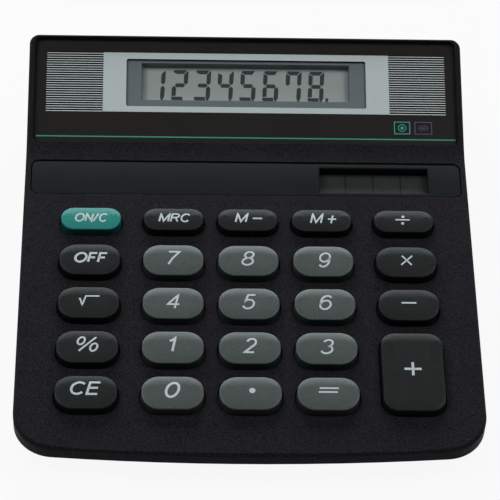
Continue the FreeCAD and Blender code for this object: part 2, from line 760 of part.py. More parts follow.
def bottom_housing():
    """The shallow tray: undercut walls, a lip with snaps, screw seats, ribs and the battery pocket."""
    form = tray_form(TRAY_REVEAL, BASE_Z, PART_Z)
    floor_z = BASE_Z + TRAY_FLOOR_T
    form = form.cut(tray_form(TRAY_REVEAL + 2 * TRAY_WALL, floor_z, PART_Z + TINY))
    lip = body_form(WALL + LIP_FIT, PART_Z - SKIRT_H / 2, PART_Z + LIP_H)
    snaps = body_form(WALL + SNAP_FIT - SNAP_DEPTH, PART_Z, PART_Z + BEYOND).common(snap_boxes(0.0))
    lip = join([lip, snaps]).cut(body_form(WALL + LIP_FIT + LIP_T, PART_Z - BEYOND, PART_Z + BEYOND))
    tray_room = tray_form(TRAY_REVEAL + TRAY_WALL / 2, BASE_Z, PART_Z)
    above = box(-HALF_W, HALF_W, -HALF_D, HALF_D, PART_Z - TINY, PART_Z + BEYOND)
    added = [form, lip.common(join([tray_room, above]))]
    for x, y in screw_places():
        added.append(box(x - SEAT_W / 2, x + SEAT_W / 2, y - SEAT_W / 2, y + SEAT_W / 2,
                         BASE_Z + TRAY_FLOOR_T / 2, BOSS_Z).common(tray_room))
    pocket, room = battery_pocket()
    rib_base = floor_z - TRAY_FLOOR_T / 2
    for x in (-RIB_X, RIB_X):
        front = deck_point(x, 0, BOARD_UNDER - RIB_CLEAR)
        rear = deck_point(x, BOARD_REAR, BOARD_UNDER - RIB_CLEAR)
        rib = loop([V(x, front.y, rib_base), V(x, rear.y, rib_base), rear, front])
        added.append(move(Part.Face(rib).extrude(V(RIB_T, 0, 0)), -RIB_T / 2, 0, 0))
    added.append(pocket)
    form = join(added)
    form = form.cut(room).cut(door_slot(DOOR_FIT, BASE_Z + DOOR_END_H + DOOR_FIT))
    form = join([form] + battery_nest())
    removed = contact_slots()
    for x, y in screw_places():
        removed.append(post(x, y, BASE_Z - BEYOND, BASE_Z + SINK_FLOOR, SCREW_HEAD_R + HEAD_FIT))
        removed.append(post(x, y, BASE_Z, BOSS_Z + BEYOND, SCREW_R + PASS_FIT))
        half = BOSS_W / 2 + STOP_CLEAR
        removed.append(box(x - half, x + half, y - half, y + half, BOSS_Z, PART_Z + BEYOND))
    for x, y in foot_places():
        half_w = FOOT_W / 2 + FOOT_FIT
        half_d = FOOT_D / 2 + FOOT_FIT
        removed.append(box(x - half_w, x + half_w, y - half_d, y + half_d,
                           BASE_Z - BEYOND, BASE_Z + FOOT_POCKET))
    return form.cut(Part.makeCompound(removed))


def battery_door():
    """A plate with side tongues whose rear end carries on the tray's slope, ribbed for a thumb."""
    slope = REAR_UNDERCUT / (PART_Z - BASE_Z)
    end_y = HALF_D - TRAY_REVEAL - REAR_UNDERCUT
    cut = loop([
        V(0, end_y, BASE_Z), V(0, end_y + slope * BEYOND, BASE_Z + BEYOND),
        V(0, HALF_D + 2 * BEYOND, BASE_Z + BEYOND), V(0, HALF_D + 2 * BEYOND, BASE_Z),
    ])
    removed = [move(Part.Face(cut).extrude(V(2 * DOOR_W, 0, 0)), BATTERY_X - DOOR_W, 0, 0)]
    removed.append(box(BATTERY_X - DOOR_W, BATTERY_X + DOOR_W, DOOR_FRONT_Y - BEYOND,
                       HALF_D + 2 * BEYOND, BASE_Z - 2 * BEYOND, BASE_Z))
    for n in range(GRIP_COUNT):
        y = end_y - GRIP_FROM_END - n * GRIP_PITCH
        removed.append(box(BATTERY_X - GRIP_LENGTH / 2, BATTERY_X + GRIP_LENGTH / 2, y - GRIP_W / 2,
                           y + GRIP_W / 2, BASE_Z - BEYOND, BASE_Z + GRIP_DEPTH))
    return door_slot(0.0, BASE_Z + DOOR_END_H).cut(Part.makeCompound(removed))


def foot_places():
    places = []
    for side in (-1, 1):
        x = side * (HALF_W - FOOT_FROM_SIDE)
        places.append((x, -HALF_D + FOOT_FROM_FRONT))
        places.append((x, HALF_D - FOOT_FROM_REAR))
    return places


def rubber_feet():
    """Four rubber pads in shallow pockets, bevelled where they meet the desk."""
    feet = []
    for x, y in foot_places():
        bevel = tapered_block(x, y, (FOOT_W - 2 * FOOT_EDGE, FOOT_D - 2 * FOOT_EDGE), 0,
                              (FOOT_W, FOOT_D), FOOT_EDGE)
        feet.append(join([bevel, box(x - FOOT_W / 2, x + FOOT_W / 2, y - FOOT_D / 2, y + FOOT_D / 2,
                                     FOOT_EDGE, FOOT_H)]))
    return Part.makeCompound(feet)


def housing_screws():
    """Two pan-head screws, heads down in the tray's sunk seats."""
    head = Part.makeCylinder(SCREW_HEAD_R, SCREW_HEAD_T, V(0, 0, -SCREW_HEAD_T))
    one = join([head, Part.makeCylinder(SCREW_R, SCREW_L)])
    return Part.makeCompound([move(one, x, y, BASE_Z + SINK_FLOOR) for x, y in screw_places()])


def display_lens():
    lens = plate(0, LENS_FROM_HINGE + LENS_D / 2, 2 * LENS_HALF_W, LENS_D, LENS_CORNER_R, -LENS_T, 0)
    return on_head(lens)


def centred_box(y, width, depth, z0, z1):
    return box(-width / 2, width / 2, y - depth / 2, y + depth / 2, z0, z1)


def lcd_bezel():
    """A stepped frame: its raised part fills the head's window, its flange lies behind."""
    step = centred_box(WINDOW_Y, WINDOW_W - 2 * BEZEL_FIT, WINDOW_D - 2 * BEZEL_FIT,
                       -HEAD_T - BEZEL_T / 2, -BEZEL_SINK)
    flange = centred_box(WINDOW_Y, WINDOW_W + 2 * BEZEL_FLANGE, WINDOW_D + 2 * BEZEL_FLANGE,
                         BEZEL_UNDER, -HEAD_T)
    opening = tapered_block(0, VIEW_Y, (VIEW_W, VIEW_D), BEZEL_UNDER,
                            (VIEW_W + 2 * VIEW_BEVEL, VIEW_D + 2 * VIEW_BEVEL), -BEZEL_SINK)
    return on_head(join([step, flange]).cut(opening))


def lcd_layer(lower_in, depth_from, depth_to):
    """One layer of the display sandwich. lower_in holds its lower edge back from the ledge."""
    return on_head(box(-GLASS_W / 2, GLASS_W / 2, GLASS_Y + lower_in, GLASS_Y + GLASS_D,
                       depth_from, depth_to))


def lcd_clamp():
    """An open frame that presses the glass against the bezel, caught by a hook at each end."""
    middle = GLASS_Y + GLASS_D / 2
    frame = centred_box(middle, 2 * CLAMP_HALF_W, GLASS_D + 2 * CLAMP_RIM, LCD_BACK - CLAMP_T, LCD_BACK)
    opening = centred_box(middle, GLASS_W - 2 * CLAMP_LAP, GLASS_D - 2 * CLAMP_LAP,
                          LCD_BACK - BEYOND, LCD_BACK + BEYOND)
    landing = box(-RIBBON_W / 2 - RIB_CLEAR, RIBBON_W / 2 + RIB_CLEAR, 0, GLASS_Y + LEDGE,
                  LCD_BACK - BEYOND, LCD_BACK + BEYOND)
    return on_head(frame.cut(opening).cut(landing))


def solar_trim():
    """The band's cover: a crowned strip with a bevelled window over the cell."""
    length = 2 * LENS_HALF_W
    middle = BAND_Y + BAND_D / 2
    strip = plate(0, middle, length, BAND_D, BAND_CORNER_R, -TRIM_T, TRIM_CROWN)
    crown_r = (BAND_D ** 2 / 4 + TRIM_CROWN ** 2) / (2 * TRIM_CROWN)
    crown = Part.makeCylinder(crown_r, 2 * length, V(-length, middle, -crown_r), V(1, 0, 0))
    window = box(SOLAR_X - SOLAR_W / 2, SOLAR_X + SOLAR_W / 2, SOLAR_Y - SOLAR_WINDOW_D / 2,
                 SOLAR_Y + SOLAR_WINDOW_D / 2, -BEYOND, BEYOND)
    bevel = tapered_block(SOLAR_X, SOLAR_Y, (SOLAR_W, SOLAR_WINDOW_D), -SOLAR_BEVEL,
                          (SOLAR_W + 4 * SOLAR_BEVEL, SOLAR_WINDOW_D + 4 * SOLAR_BEVEL), SOLAR_BEVEL)
    return on_deck(strip.common(crown).cut(window).cut(bevel))


def solar_cell():
    half_w = SOLAR_W / 2 + CELL_LAP
    half_d = min(SOLAR_WINDOW_D / 2 + CELL_LAP, BAND_D / 2)
    return on_deck(box(SOLAR_X - half_w, SOLAR_X + half_w, SOLAR_Y - half_d, SOLAR_Y + half_d,
                       BAND_FLOOR_UNDER - CELL_T, BAND_FLOOR_UNDER))


def main_board():
    return on_deck(box(-BOARD_HALF_W, BOARD_HALF_W, -BOARD_FRONT, BOARD_REAR, BOARD_UNDER, BOARD_TOP))


def rubber_keypad():
    """One rubber sheet on the board, with a collapsing pad under each key's stem."""
    sheet = box(-BOARD_HALF_W, BOARD_HALF_W, -BOARD_FRONT, TOP_ROW_Y + MAT_TAIL, BOARD_TOP, MAT_TOP)
    w = STOP_W / 2 + STOP_CLEAR
    d = STOP_T / 2 + STOP_CLEAR
    slots = [box(x - w, x + w, y - d, y + d, BOARD_TOP - BEYOND, MAT_TOP + BEYOND)
             for x, y in stop_places()]
    foot = (DOME_W, DOME_W)
    head = (DOME_TOP_W, DOME_TOP_W)
    pads = [tapered_block(x, y, foot, MAT_TOP, head, STEM_END - MAT_TOUCH)
            for name, x, y, width, depth, corner in key_list()]
    return on_deck(join([sheet.cut(Part.makeCompound(slots))] + pads))


def under_board(x, y, width, depth, height):
    return box(x - width / 2, x + width / 2, y - depth / 2, y + depth / 2,
               BOARD_UNDER - height, BOARD_UNDER)


def processor_chip():
    return on_deck(under_board(CHIP_X, CHIP_Y, CHIP_W, CHIP_W, CHIP_H))


def capacitor():
    return on_deck(Part.makeCylinder(CAN_R, CAN_L, V(CAN_X, CAN_Y, BOARD_UNDER - CAN_R), V(1, 0, 0)))


def voltage_clamp():
    return on_deck(under_board(DIODE_X, DIODE_Y, DIODE_W, DIODE_D, DIODE_H))


def resistors():
    chips = [under_board(RESISTOR_X, RESISTOR_Y - n * RESISTOR_PITCH, RESISTOR_W, RESISTOR_D, RESISTOR_H)
             for n in range(RESISTOR_COUNT)]
    return on_deck(Part.makeCompound(chips))


def display_ribbon():
    """A film from the board's rear edge to the glass's ledge, along one wide bend."""
    start = deck_point(0, BOARD_REAR - RIBBON_LAND, BOARD_TOP)
    end = head_point(0, GLASS_Y + RIBBON_LAND, LCD_FRONT - FILM_T - GLASS_T - RIBBON_T)
    rise = tangent(DECK_ANGLE)
    climb = tangent(DISPLAY_ANGLE)
    bend_y = (end.z - start.z + rise * start.y - climb * end.y) / (rise - climb)
    bend_z = start.z + rise * (bend_y - start.y)
    shorter = min((bend_y - start.y) / cosine(DECK_ANGLE), (end.y - bend_y) / cosine(DISPLAY_ANGLE))
    reach = shorter - RIBBON_LAND
    radius = reach / tangent(HEAD_ANGLE / 2)
    first = V(0, bend_y - reach * cosine(DECK_ANGLE), bend_z - reach * sine(DECK_ANGLE))
    last = V(0, bend_y + reach * cosine(DISPLAY_ANGLE), bend_z + reach * sine(DISPLAY_ANGLE))
    centre = V(0, first.y - radius * sine(DECK_ANGLE), first.z + radius * cosine(DECK_ANGLE))

    def spot(angle, r):
        return V(0, centre.y + r * sine(angle), centre.z - r * cosine(angle))

    turn = DECK_ANGLE + HEAD_ANGLE / 2
    inner = radius - RIBBON_T
    low_start = start
    high_start = V(0, start.y - RIBBON_T * sine(DECK_ANGLE), start.z + RIBBON_T * cosine(DECK_ANGLE))
    high_end = V(0, end.y - RIBBON_T * sine(DISPLAY_ANGLE), end.z + RIBBON_T * cosine(DISPLAY_ANGLE))
    edges = [
        Part.makeLine(low_start, first),
        Part.Arc(first, spot(turn, radius), last).toShape(),
        Part.makeLine(last, end),
        Part.makeLine(end, high_end),
        Part.makeLine(high_end, spot(DISPLAY_ANGLE, inner)),
        Part.Arc(spot(DISPLAY_ANGLE, inner), spot(turn, inner), spot(DECK_ANGLE, inner)).toShape(),
        Part.makeLine(spot(DECK_ANGLE, inner), high_start),
        Part.makeLine(high_start, low_start),
    ]
    film = Part.Face(Part.Wire(edges)).extrude(V(RIBBON_W, 0, 0))
    return move(film, -RIBBON_W / 2, 0, 0)


def lead(points):
    """A lead along straight runs, drawn with a square section."""
    run = points[1] - points[0]
    half = LEAD_W / 2
    section = loop([V(-half, -half), V(half, -half), V(half, half), V(-half, half)])
    section.Placement = FreeCAD.Placement(points[0], FreeCAD.Rotation(V(0, 0, 1), run))
    return Part.makePolygon(points).makePipeShell([section], True, False, 1)


def leads():
    """Two straight leads from the solar cell and two bent ones from the battery contacts."""
    found = {}
    pad_y = BOARD_REAR - RIBBON_LAND
    level = BOARD_TOP + LEAD_W / 2 + LEAD_SEAT
    for n, name in enumerate(("solar_lead_red", "solar_lead_black")):
        x = SOLAR_X + n * LEAD_PITCH
        found[name] = on_deck(box(x, x + LEAD_W, pad_y, pad_y + SOLAR_LEAD_L, BOARD_TOP + LEAD_SEAT,
                                  BOARD_TOP + LEAD_SEAT + LEAD_W))
    tails = {
        "battery_lead_black": (minus_contact_points()[2][0] - LEAD_W / 2, 0),
        "battery_lead_red": (plus_contact_points()[4][0] + LEAD_W / 2, 1),
    }
    tail_z = CEILING_Z + POCKET_CEILING + LEAD_W
    for name, (x, n) in tails.items():
        pad_x = -BOARD_HALF_W + (n + 2) * LEAD_PITCH
        found[name] = lead([
            V(BATTERY_X + x, BATTERY_Y, tail_z),
            V(BATTERY_X + x, BATTERY_Y - LEAD_REACH, tail_z),
            deck_point(pad_x, BOARD_REAR + LEAD_REACH, level),
            deck_point(pad_x, pad_y, level),
        ])
    return found


def write(name, shape):
    if shape.ShapeType == "Compound" and len(shape.Solids) == 1:
        shape = shape.Solids[0]
    shape.exportStep(os.path.join("parts", name + ".step"))


os.makedirs("parts", exist_ok=True)
front_film = LCD_FRONT - FILM_T
front_glass = front_film - GLASS_T
rear_glass = front_glass - GLASS_T
PARTS = {
    "top_housing": top_housing(),
    "bottom_housing": bottom_housing(),
    "battery_door": battery_door(),
    "rubber_feet": rubber_feet(),
    "housing_screws": housing_screws(),
    "display_lens": display_lens(),
    "lcd_bezel": lcd_bezel(),
    "lcd_polariser": lcd_layer(LEDGE, front_film, LCD_FRONT),
    "lcd_front_glass": lcd_layer(0.0, front_glass, front_film),
    "lcd_rear_glass": lcd_layer(LEDGE, rear_glass, front_glass),
    "lcd_reflector": lcd_layer(LEDGE, LCD_BACK, rear_glass),
    "lcd_clamp": lcd_clamp(),
    "display_ribbon": display_ribbon(),
    "solar_trim": solar_trim(),
    "solar_cell": solar_cell(),
    "main_board": main_board(),
    "rubber_keypad": rubber_keypad(),
    "processor_chip": processor_chip(),
    "capacitor": capacitor(),
    "voltage_clamp": voltage_clamp(),
    "resistors": resistors(),
    "battery_cell": post(BATTERY_X, BATTERY_Y, BATTERY_Z, BATTERY_Z + BATTERY_H, BATTERY_R),
    "battery_contact_minus": contact_profile(minus_contact_points()),
    "battery_contact_plus": contact_profile(plus_contact_points()),
}
PARTS.update(leads())
for key in key_list():
    PARTS["key_" + key[0]] = key_cap(key)
for name, shape in PARTS.items():
    write(name, shape)
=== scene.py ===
import bmesh
import bpy
import math
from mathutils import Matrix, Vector
from mathutils.bvhtree import BVHTree


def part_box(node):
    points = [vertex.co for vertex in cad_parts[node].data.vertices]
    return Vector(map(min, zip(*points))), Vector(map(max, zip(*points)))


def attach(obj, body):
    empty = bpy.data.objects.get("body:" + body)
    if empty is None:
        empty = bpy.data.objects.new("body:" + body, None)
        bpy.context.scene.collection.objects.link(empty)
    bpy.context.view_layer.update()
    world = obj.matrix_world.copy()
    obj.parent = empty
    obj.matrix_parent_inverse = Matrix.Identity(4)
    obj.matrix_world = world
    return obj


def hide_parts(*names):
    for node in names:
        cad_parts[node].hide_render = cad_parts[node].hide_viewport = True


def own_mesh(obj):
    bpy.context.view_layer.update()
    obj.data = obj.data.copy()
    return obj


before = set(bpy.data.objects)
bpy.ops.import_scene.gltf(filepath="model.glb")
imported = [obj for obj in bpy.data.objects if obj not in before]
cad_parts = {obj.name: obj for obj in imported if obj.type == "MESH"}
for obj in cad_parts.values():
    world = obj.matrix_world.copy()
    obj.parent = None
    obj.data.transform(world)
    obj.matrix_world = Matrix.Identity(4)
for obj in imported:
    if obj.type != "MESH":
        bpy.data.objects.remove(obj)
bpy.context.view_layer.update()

# ---- Desk and studio ----
# The calculator stands on a white photographer's table whose edge sweeps up all round it. One
# softbox hangs low behind it and one at each side, so that the deck and lens mirror none of them.
TABLE_FLAT = 1.3
TABLE_SWEEP = 0.9
TABLE_RINGS = 14
TABLE_SIDES = 96
SOFTBOXES = (
    # name, place, aimed at, width, depth, watts
    ("rear_softbox", (-0.10, 1.12, 0.60), (0, 0, 0.02), 1.4, 0.5, 15.5),
    ("left_softbox", (-0.70, 0.05, 1.10), (0, 0, 0.02), 0.6, 0.6, 6.3),
    ("right_softbox", (0.70, 0.05, 1.10), (0, 0, 0.02), 0.6, 0.6, 5.3),
)
ROOM_LIGHT = 0.05
TABLE_GLOW = 0.92
DARK_FROM = 0.6
DARK_FADE = 0.5
CAMERA_PLACE = (-0.02265, -0.39948, 0.47440)
CAMERA_TURN = (40.991, -1.996, -1.043)
CAMERA_LENS = 164.15
CAMERA_SENSOR = 36.0
CAMERA_NEAR = 0.01


def hue(red, green, blue):
    """A paint colour written as on a screen, turned into the linear light that Blender mixes."""
    def channel(value):
        value /= 255
        return value / 12.92 if value <= 0.04045 else ((value + 0.055) / 1.055) ** 2.4
    return (channel(red), channel(green), channel(blue), 1.0)


class Signal:
    """A number or colour on its way through a finish. Sums and products add their own nodes."""

    def __init__(self, finish, socket):
        self.finish = finish
        self.socket = socket

    def math(self, operation, *others):
        return self.finish.node("Math", {"operation": operation}, dict(enumerate((self,) + others)))

    def __add__(self, other):
        return self.math("ADD", other)

    def __mul__(self, other):
        return self.math("MULTIPLY", other)

    def __sub__(self, other):
        return self.math("SUBTRACT", other)

    def __rsub__(self, other):
        return self.finish.node("Math", {"operation": "SUBTRACT"}, {0: other, 1: self})

    def __truediv__(self, other):
        return self.math("DIVIDE", other)

    def __gt__(self, other):
        return self.math("GREATER_THAN", other)

    def __lt__(self, other):
        return self.math("LESS_THAN", other)

    def __abs__(self):
        return self.math("ABSOLUTE")

    __radd__ = __add__
    __rmul__ = __mul__

    def most(self, other):
        return self.math("MAXIMUM", other)

    def least(self, other):
        return self.math("MINIMUM", other)

    def phase(self):
        return self.math("FRACT")


class Finish:
    """The look of one material, built up from what varies over its surface."""

    def __init__(self, name, **constants):
        self.material = bpy.data.materials.new(name)
        self.material.use_nodes = True
        self.tree = self.material.node_tree
        self.shader = self.tree.nodes["Principled BSDF"]
        self.feed(self.shader, constants)

    def feed(self, node, values):
        for name, value in values.items():
            socket = node.inputs[name.replace("_", " ") if isinstance(name, str) else name]
            if isinstance(value, Signal):
                self.tree.links.new(value.socket, socket)
            else:
                socket.default_value = value

    def node(self, kind, settings, values, output=0):
        made = self.tree.nodes.new("ShaderNode" + kind)
        for name, value in settings.items():
            setattr(made, name, value)
        self.feed(made, values)
        return Signal(self, made.outputs[output])

    def varies(self, **values):
        self.feed(self.shader, values)
        return self

    def place(self):
        """The point's own place on the part, as it stands at rest."""
        return self.node("TexCoord", {}, {}, "Object")

    def axes(self, point):
        return [self.node("SeparateXYZ", {}, {"Vector": point}, axis) for axis in "XYZ"]

    def speckle(self, size, detail=2.0):
        """Noise whose lumps are about this size in metres, from 0 to 1."""
        return self.node("TexNoise", {}, {"Vector": self.place(), "Scale": 1 / size, "Detail": detail})

    def turning(self, share, first, second):
        """The first colour where the share is 0, the second where it is 1."""
        return self.node("Mix", {"data_type": "RGBA"}, {0: share, 6: first, 7: second}, 2)

    def relief(self, height, depth, edge):
        """Bumps of this depth in metres, on edges that are rounded off by a small radius."""
        soft = self.node("Bevel", {"samples": 4}, {"Radius": edge})
        return self.node("Bump", {}, {"Height": height, "Distance": depth, "Normal": soft})


def paint(piece, finish):
    piece.data.materials.clear()
    piece.data.materials.append(finish.material)
    return piece


def solid(name, points, faces, smooth=True):
    """A piece from its corner points in metres and its faces."""
    mesh = bpy.data.meshes.new(name)
    mesh.from_pydata([tuple(point) for point in points], [], faces)
    mesh.validate()
    mesh.polygons.foreach_set("use_smooth", [smooth] * len(mesh.polygons))
    piece = bpy.data.objects.new(name, mesh)
    bpy.context.scene.collection.objects.link(piece)
    return piece


def stacked(rings):
    """Points and faces of a closed skin through like rings, flat at both ends."""
    count = len(rings[0])
    points = [point for ring in rings for point in ring]
    faces = [tuple(reversed(range(count)))]
    for level in range(len(rings) - 1):
        for n in range(count):
            m = (n + 1) % count
            low, high = level * count, (level + 1) * count
            faces.append((low + n, low + m, high + m, high + n))
    faces.append(tuple(range(len(points) - count, len(points))))
    return points, faces


table_rings = []
for step in range(TABLE_RINGS + 1):
    turn = math.radians(90 * step / TABLE_RINGS)
    reach = TABLE_FLAT + TABLE_SWEEP * math.sin(turn)
    rise = TABLE_SWEEP * (1 - math.cos(turn))
    angles = [math.tau * n / TABLE_SIDES for n in range(TABLE_SIDES)]
    table_rings.append([
        Vector((reach * math.cos(angle), reach * math.sin(angle), rise)) for angle in angles
    ])
table_points, table_faces = stacked(table_rings)
table = solid("photo_table", table_points, table_faces[:-1])
# the paper glows white to the eye, but is dark to the lamps further out, so that dark walls stay dark
white_table = Finish("white_table", Roughness=0.7, Specular_IOR_Level=0.2)
x, y, z = white_table.axes(white_table.place())
far = (((x * x + y * y).math("SQRT") - DARK_FROM) / DARK_FADE).most(0.0).least(1.0)
paper = white_table.turning(white_table.speckle(0.05), hue(192, 192, 192), hue(198, 198, 198))
white_table.varies(Base_Color=white_table.turning(far, paper, hue(90, 90, 90)))
rays = ("Is Camera Ray", "Is Glossy Ray", "Is Transmission Ray")
seen = [white_table.node("LightPath", {}, {}, ray) for ray in rays]
glow = white_table.node("Emission", {}, {"Strength": 1.0})
share = (TABLE_GLOW + (1 - TABLE_GLOW) * far) * (seen[0] + seen[1] + seen[2])
shared = white_table.node("MixShader", {}, {0: share, 2: glow})
white_table.tree.links.new(white_table.shader.outputs[0], shared.socket.node.inputs[1])
white_table.tree.links.new(shared.socket, white_table.tree.nodes["Material Output"].inputs["Surface"])
paint(table, white_table)

for name, place, target, width, depth, watts in SOFTBOXES:
    lamp = bpy.data.lights.new(name, "AREA")
    lamp.shape = "RECTANGLE"
    lamp.size = width
    lamp.size_y = depth
    lamp.energy = watts
    hung = bpy.data.objects.new(name, lamp)
    hung.location = place
    hung.rotation_euler = (Vector(target) - Vector(place)).to_track_quat("-Z", "Y").to_euler()
    bpy.context.scene.collection.objects.link(hung)

world = bpy.data.worlds.new("room")
world.use_nodes = True
world.node_tree.nodes["Background"].inputs["Color"].default_value = (1.0, 1.0, 1.0, 1.0)
world.node_tree.nodes["Background"].inputs["Strength"].default_value = ROOM_LIGHT
bpy.context.scene.world = world
bpy.context.scene.view_settings.view_transform = "Standard"

view = bpy.data.cameras.new("photo_camera")
view.lens = CAMERA_LENS
view.sensor_width = CAMERA_SENSOR
view.clip_start = CAMERA_NEAR
camera = bpy.data.objects.new("photo_camera", view)
camera.location = CAMERA_PLACE
camera.rotation_euler = [math.radians(angle) for angle in CAMERA_TURN]
bpy.context.scene.collection.objects.link(camera)
bpy.context.scene.camera = camera

# ---- Bottom housing ----
# A shallow tray moulded in black ABS with a fine spark-eroded grain, undercut on all sides so that
# the calculator seems to float. It snaps into the top housing and carries board, cell and feet.
HOUSING_BLACK = hue(17, 16, 20)
HOUSING_WORN = hue(40, 39, 44)
GRAIN_SIZE = 0.0004
GRAIN_DEPTH = 0.00002
HOUSING_EDGE = 0.0003
CLOUD_SIZE = 0.012


def moulded(name, dark, light, roughness, grain, depth, edge, **constants):
    """Injection-moulded plastic: a little clouded in colour and gloss, with an eroded grain."""
    finish = Finish(name, **constants)
    cloud = finish.speckle(CLOUD_SIZE)
    pits = finish.speckle(grain, 3.0)
    return finish.varies(
        Base_Color=finish.turning(0.3 * cloud + 3.0 * pits - 1.15, dark, light),
        Roughness=roughness + 0.08 * (cloud - 0.5) + 0.10 * (pits - 0.5),
        Normal=finish.relief(pits, depth, edge),
    )


housing = moulded("grained_black_abs", HOUSING_BLACK, HOUSING_WORN, 0.52, GRAIN_SIZE, GRAIN_DEPTH,
                  HOUSING_EDGE, Specular_IOR_Level=0.03)
paint(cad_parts["bottom_housing"], housing)

# ---- Feet ----
# Four pads die-cut from soft black rubber sheet and glued into shallow pockets of the tray. They
# are matt, a little dusty, and keep the calculator from sliding.
rubber = moulded("matt_black_rubber", hue(24, 24, 25), hue(38, 38, 39), 0.82, 0.0006, 0.00002,
                 0.0002, Specular_IOR_Level=0.2)
paint(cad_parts["rubber_feet"], rubber)

# ---- Battery cell, its contacts and its leads ----
# A nickel-plated steel button cell lies in a round nest with its flat side down. Two strips of
# sprung, nickel-plated steel touch it, and a black and a red lead run from their tails to the board.
def plated(name, dark, light, roughness, size):
    """Thin nickel plating, drawn or rubbed, with a faint unevenness in its gloss."""
    finish = Finish(name, Metallic=1.0)
    rub = finish.speckle(size)
    return finish.varies(
        Base_Color=finish.turning(rub, dark, light),
        Roughness=roughness + 0.12 * (rub - 0.5),
        Normal=finish.relief(rub, 0.000006, 0.00008),
    )


nickel = plated("nickel_plate", hue(166, 166, 160), hue(196, 196, 192), 0.28, 0.0007)
paint(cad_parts["battery_contact_minus"], nickel)
paint(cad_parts["battery_contact_plus"], nickel)

CELL_SEAL = hue(40, 52, 60)
SEAL_FROM = 0.00492
SEAL_TO = 0.00520
SEAL_OVER = 0.002
# rings to a metre
LATHE_RINGS = 9000.0
CELL_STEPS = 64
# radius in millimetres and height above the can's flat side
CELL_PROFILE = (
    (5.45, 0.0), (5.68, 0.06), (5.79, 0.22), (5.80, 0.4), (5.80, 2.45), (5.74, 2.62), (5.58, 2.74),
    (5.26, 2.80), (5.16, 2.78), (5.12, 2.66), (4.94, 2.66), (4.88, 2.90), (4.74, 3.02), (4.5, 3.05),
)


def turned(centre, base, profile, steps):
    """Rings of a turned piece about an upright axis, from radii and heights in millimetres."""
    rings = []
    for radius, height in profile:
        rings.append([
            Vector((
                centre[0] + 0.001 * radius * math.cos(math.tau * n / steps),
                centre[1] + 0.001 * radius * math.sin(math.tau * n / steps),
                base + 0.001 * height,
            ))
            for n in range(steps)
        ])
    return rings


cell_low, cell_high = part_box("battery_cell")
cell_middle = (cell_low + cell_high) / 2
cell = solid("button_cell", *stacked(turned(cell_middle, cell_low.z, CELL_PROFILE, CELL_STEPS)))
cell_finish = Finish("button_cell_can")
x, y, z = cell_finish.axes(cell_finish.place())
across, along = x - cell_middle.x, y - cell_middle.y
from_axis = (across * across + along * along).math("SQRT")
seal = (from_axis > SEAL_FROM) * (from_axis < SEAL_TO) * (z > cell_low.z + SEAL_OVER)
lathe_marks = (from_axis * LATHE_RINGS).phase()
cell_finish.varies(
    Base_Color=cell_finish.turning(seal, hue(190, 189, 184), CELL_SEAL),
    Metallic=1 - seal,
    Roughness=0.24 + 0.05 * lathe_marks + 0.25 * seal,
)
paint(cell, cell_finish)
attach(cell, "case")
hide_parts("battery_cell")


def sleeved(name, dark, light):
    return moulded(name, dark, light, 0.42, 0.0012, 0.00001, 0.0003)


red_sleeve = sleeved("red_lead_sleeve", hue(150, 26, 22), hue(170, 34, 28))
black_sleeve = sleeved("black_lead_sleeve", hue(22, 22, 23), hue(32, 32, 33))
for source in ("battery", "solar"):
    paint(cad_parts[source + "_lead_red"], red_sleeve)
    paint(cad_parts[source + "_lead_black"], black_sleeve)

# ---- Battery door ----
# The same black ABS as the tray, as a plate with a thumb grip of four grooves. Its side tongues run
# in slots of the tray, and it slides out to the rear to free the cell.
paint(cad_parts["battery_door"], housing)

# ---- Board and its parts ----
# A paper-and-resin board with copper tracks under green solder mask. It carries the processor, a
# capacitor, a voltage clamp and three resistors on its under side, and hooks hold it by its edges.
TRACK_PITCH_X = 0.0021
TRACK_PITCH_Y = 0.0019
TRACK_SHARE = 0.4
TRACK_PATCH = 0.022
STRIPE_HALF_W = 0.0009

board = Finish("green_masked_board", Specular_IOR_Level=0.5)
x, y, z = board.axes(board.place())
track_across = abs((y / TRACK_PITCH_Y).phase() - 0.5) < TRACK_SHARE / 2
track_along = abs((x / TRACK_PITCH_X).phase() - 0.5) < TRACK_SHARE / 2
lengthwise = board.speckle(TRACK_PATCH, 0.0) > 0.5
track = lengthwise * track_along + (1 - lengthwise) * track_across
board.varies(
    Base_Color=board.turning(track, hue(24, 74, 48), hue(46, 108, 70)),
    Roughness=0.38 - 0.08 * track,
    Normal=board.relief(track, 0.00003, 0.0001),
)
paint(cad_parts["main_board"], board)

epoxy = moulded("black_moulded_epoxy", hue(22, 22, 23), hue(34, 34, 35), 0.5, 0.0004, 0.00001, 0.0002)
for name in ("processor_chip", "voltage_clamp"):
    paint(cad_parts[name], epoxy)
ceramic = moulded("resistor_glaze", hue(28, 30, 34), hue(44, 46, 52), 0.3, 0.0003, 0.000005, 0.0001)
paint(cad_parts["resistors"], ceramic)

sleeve = Finish("capacitor_sleeve")
x, y, z = sleeve.axes(sleeve.place())
can_low, can_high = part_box("capacitor")
stripe = abs(y - (can_low.y + can_high.y) / 2) < STRIPE_HALF_W
sleeve.varies(
    Base_Color=sleeve.turning(stripe, hue(22, 30, 62), hue(176, 182, 186)),
    Roughness=0.3 + 0.1 * sleeve.speckle(0.001),
    Normal=sleeve.relief(sleeve.speckle(0.0008), 0.00001, 0.0003),
)
paint(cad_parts["capacitor"], sleeve)

# ---- Top housing ----
# Deck, display head and walls in one moulding of the same grained black ABS, with a well for every
# key and shallow recesses for the band and the lens.
paint(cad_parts["top_housing"], housing)

# ---- Solar panel and the band over it ----
# Four amorphous cells on a strip of glass lie deep under the window of a separate satin band, which
# is crowned a little and set into its groove between the keys and the display head.
CELL_JOINTS = (0.0272, 0.0348, 0.0423)
CELL_JOINT_W = 0.00036

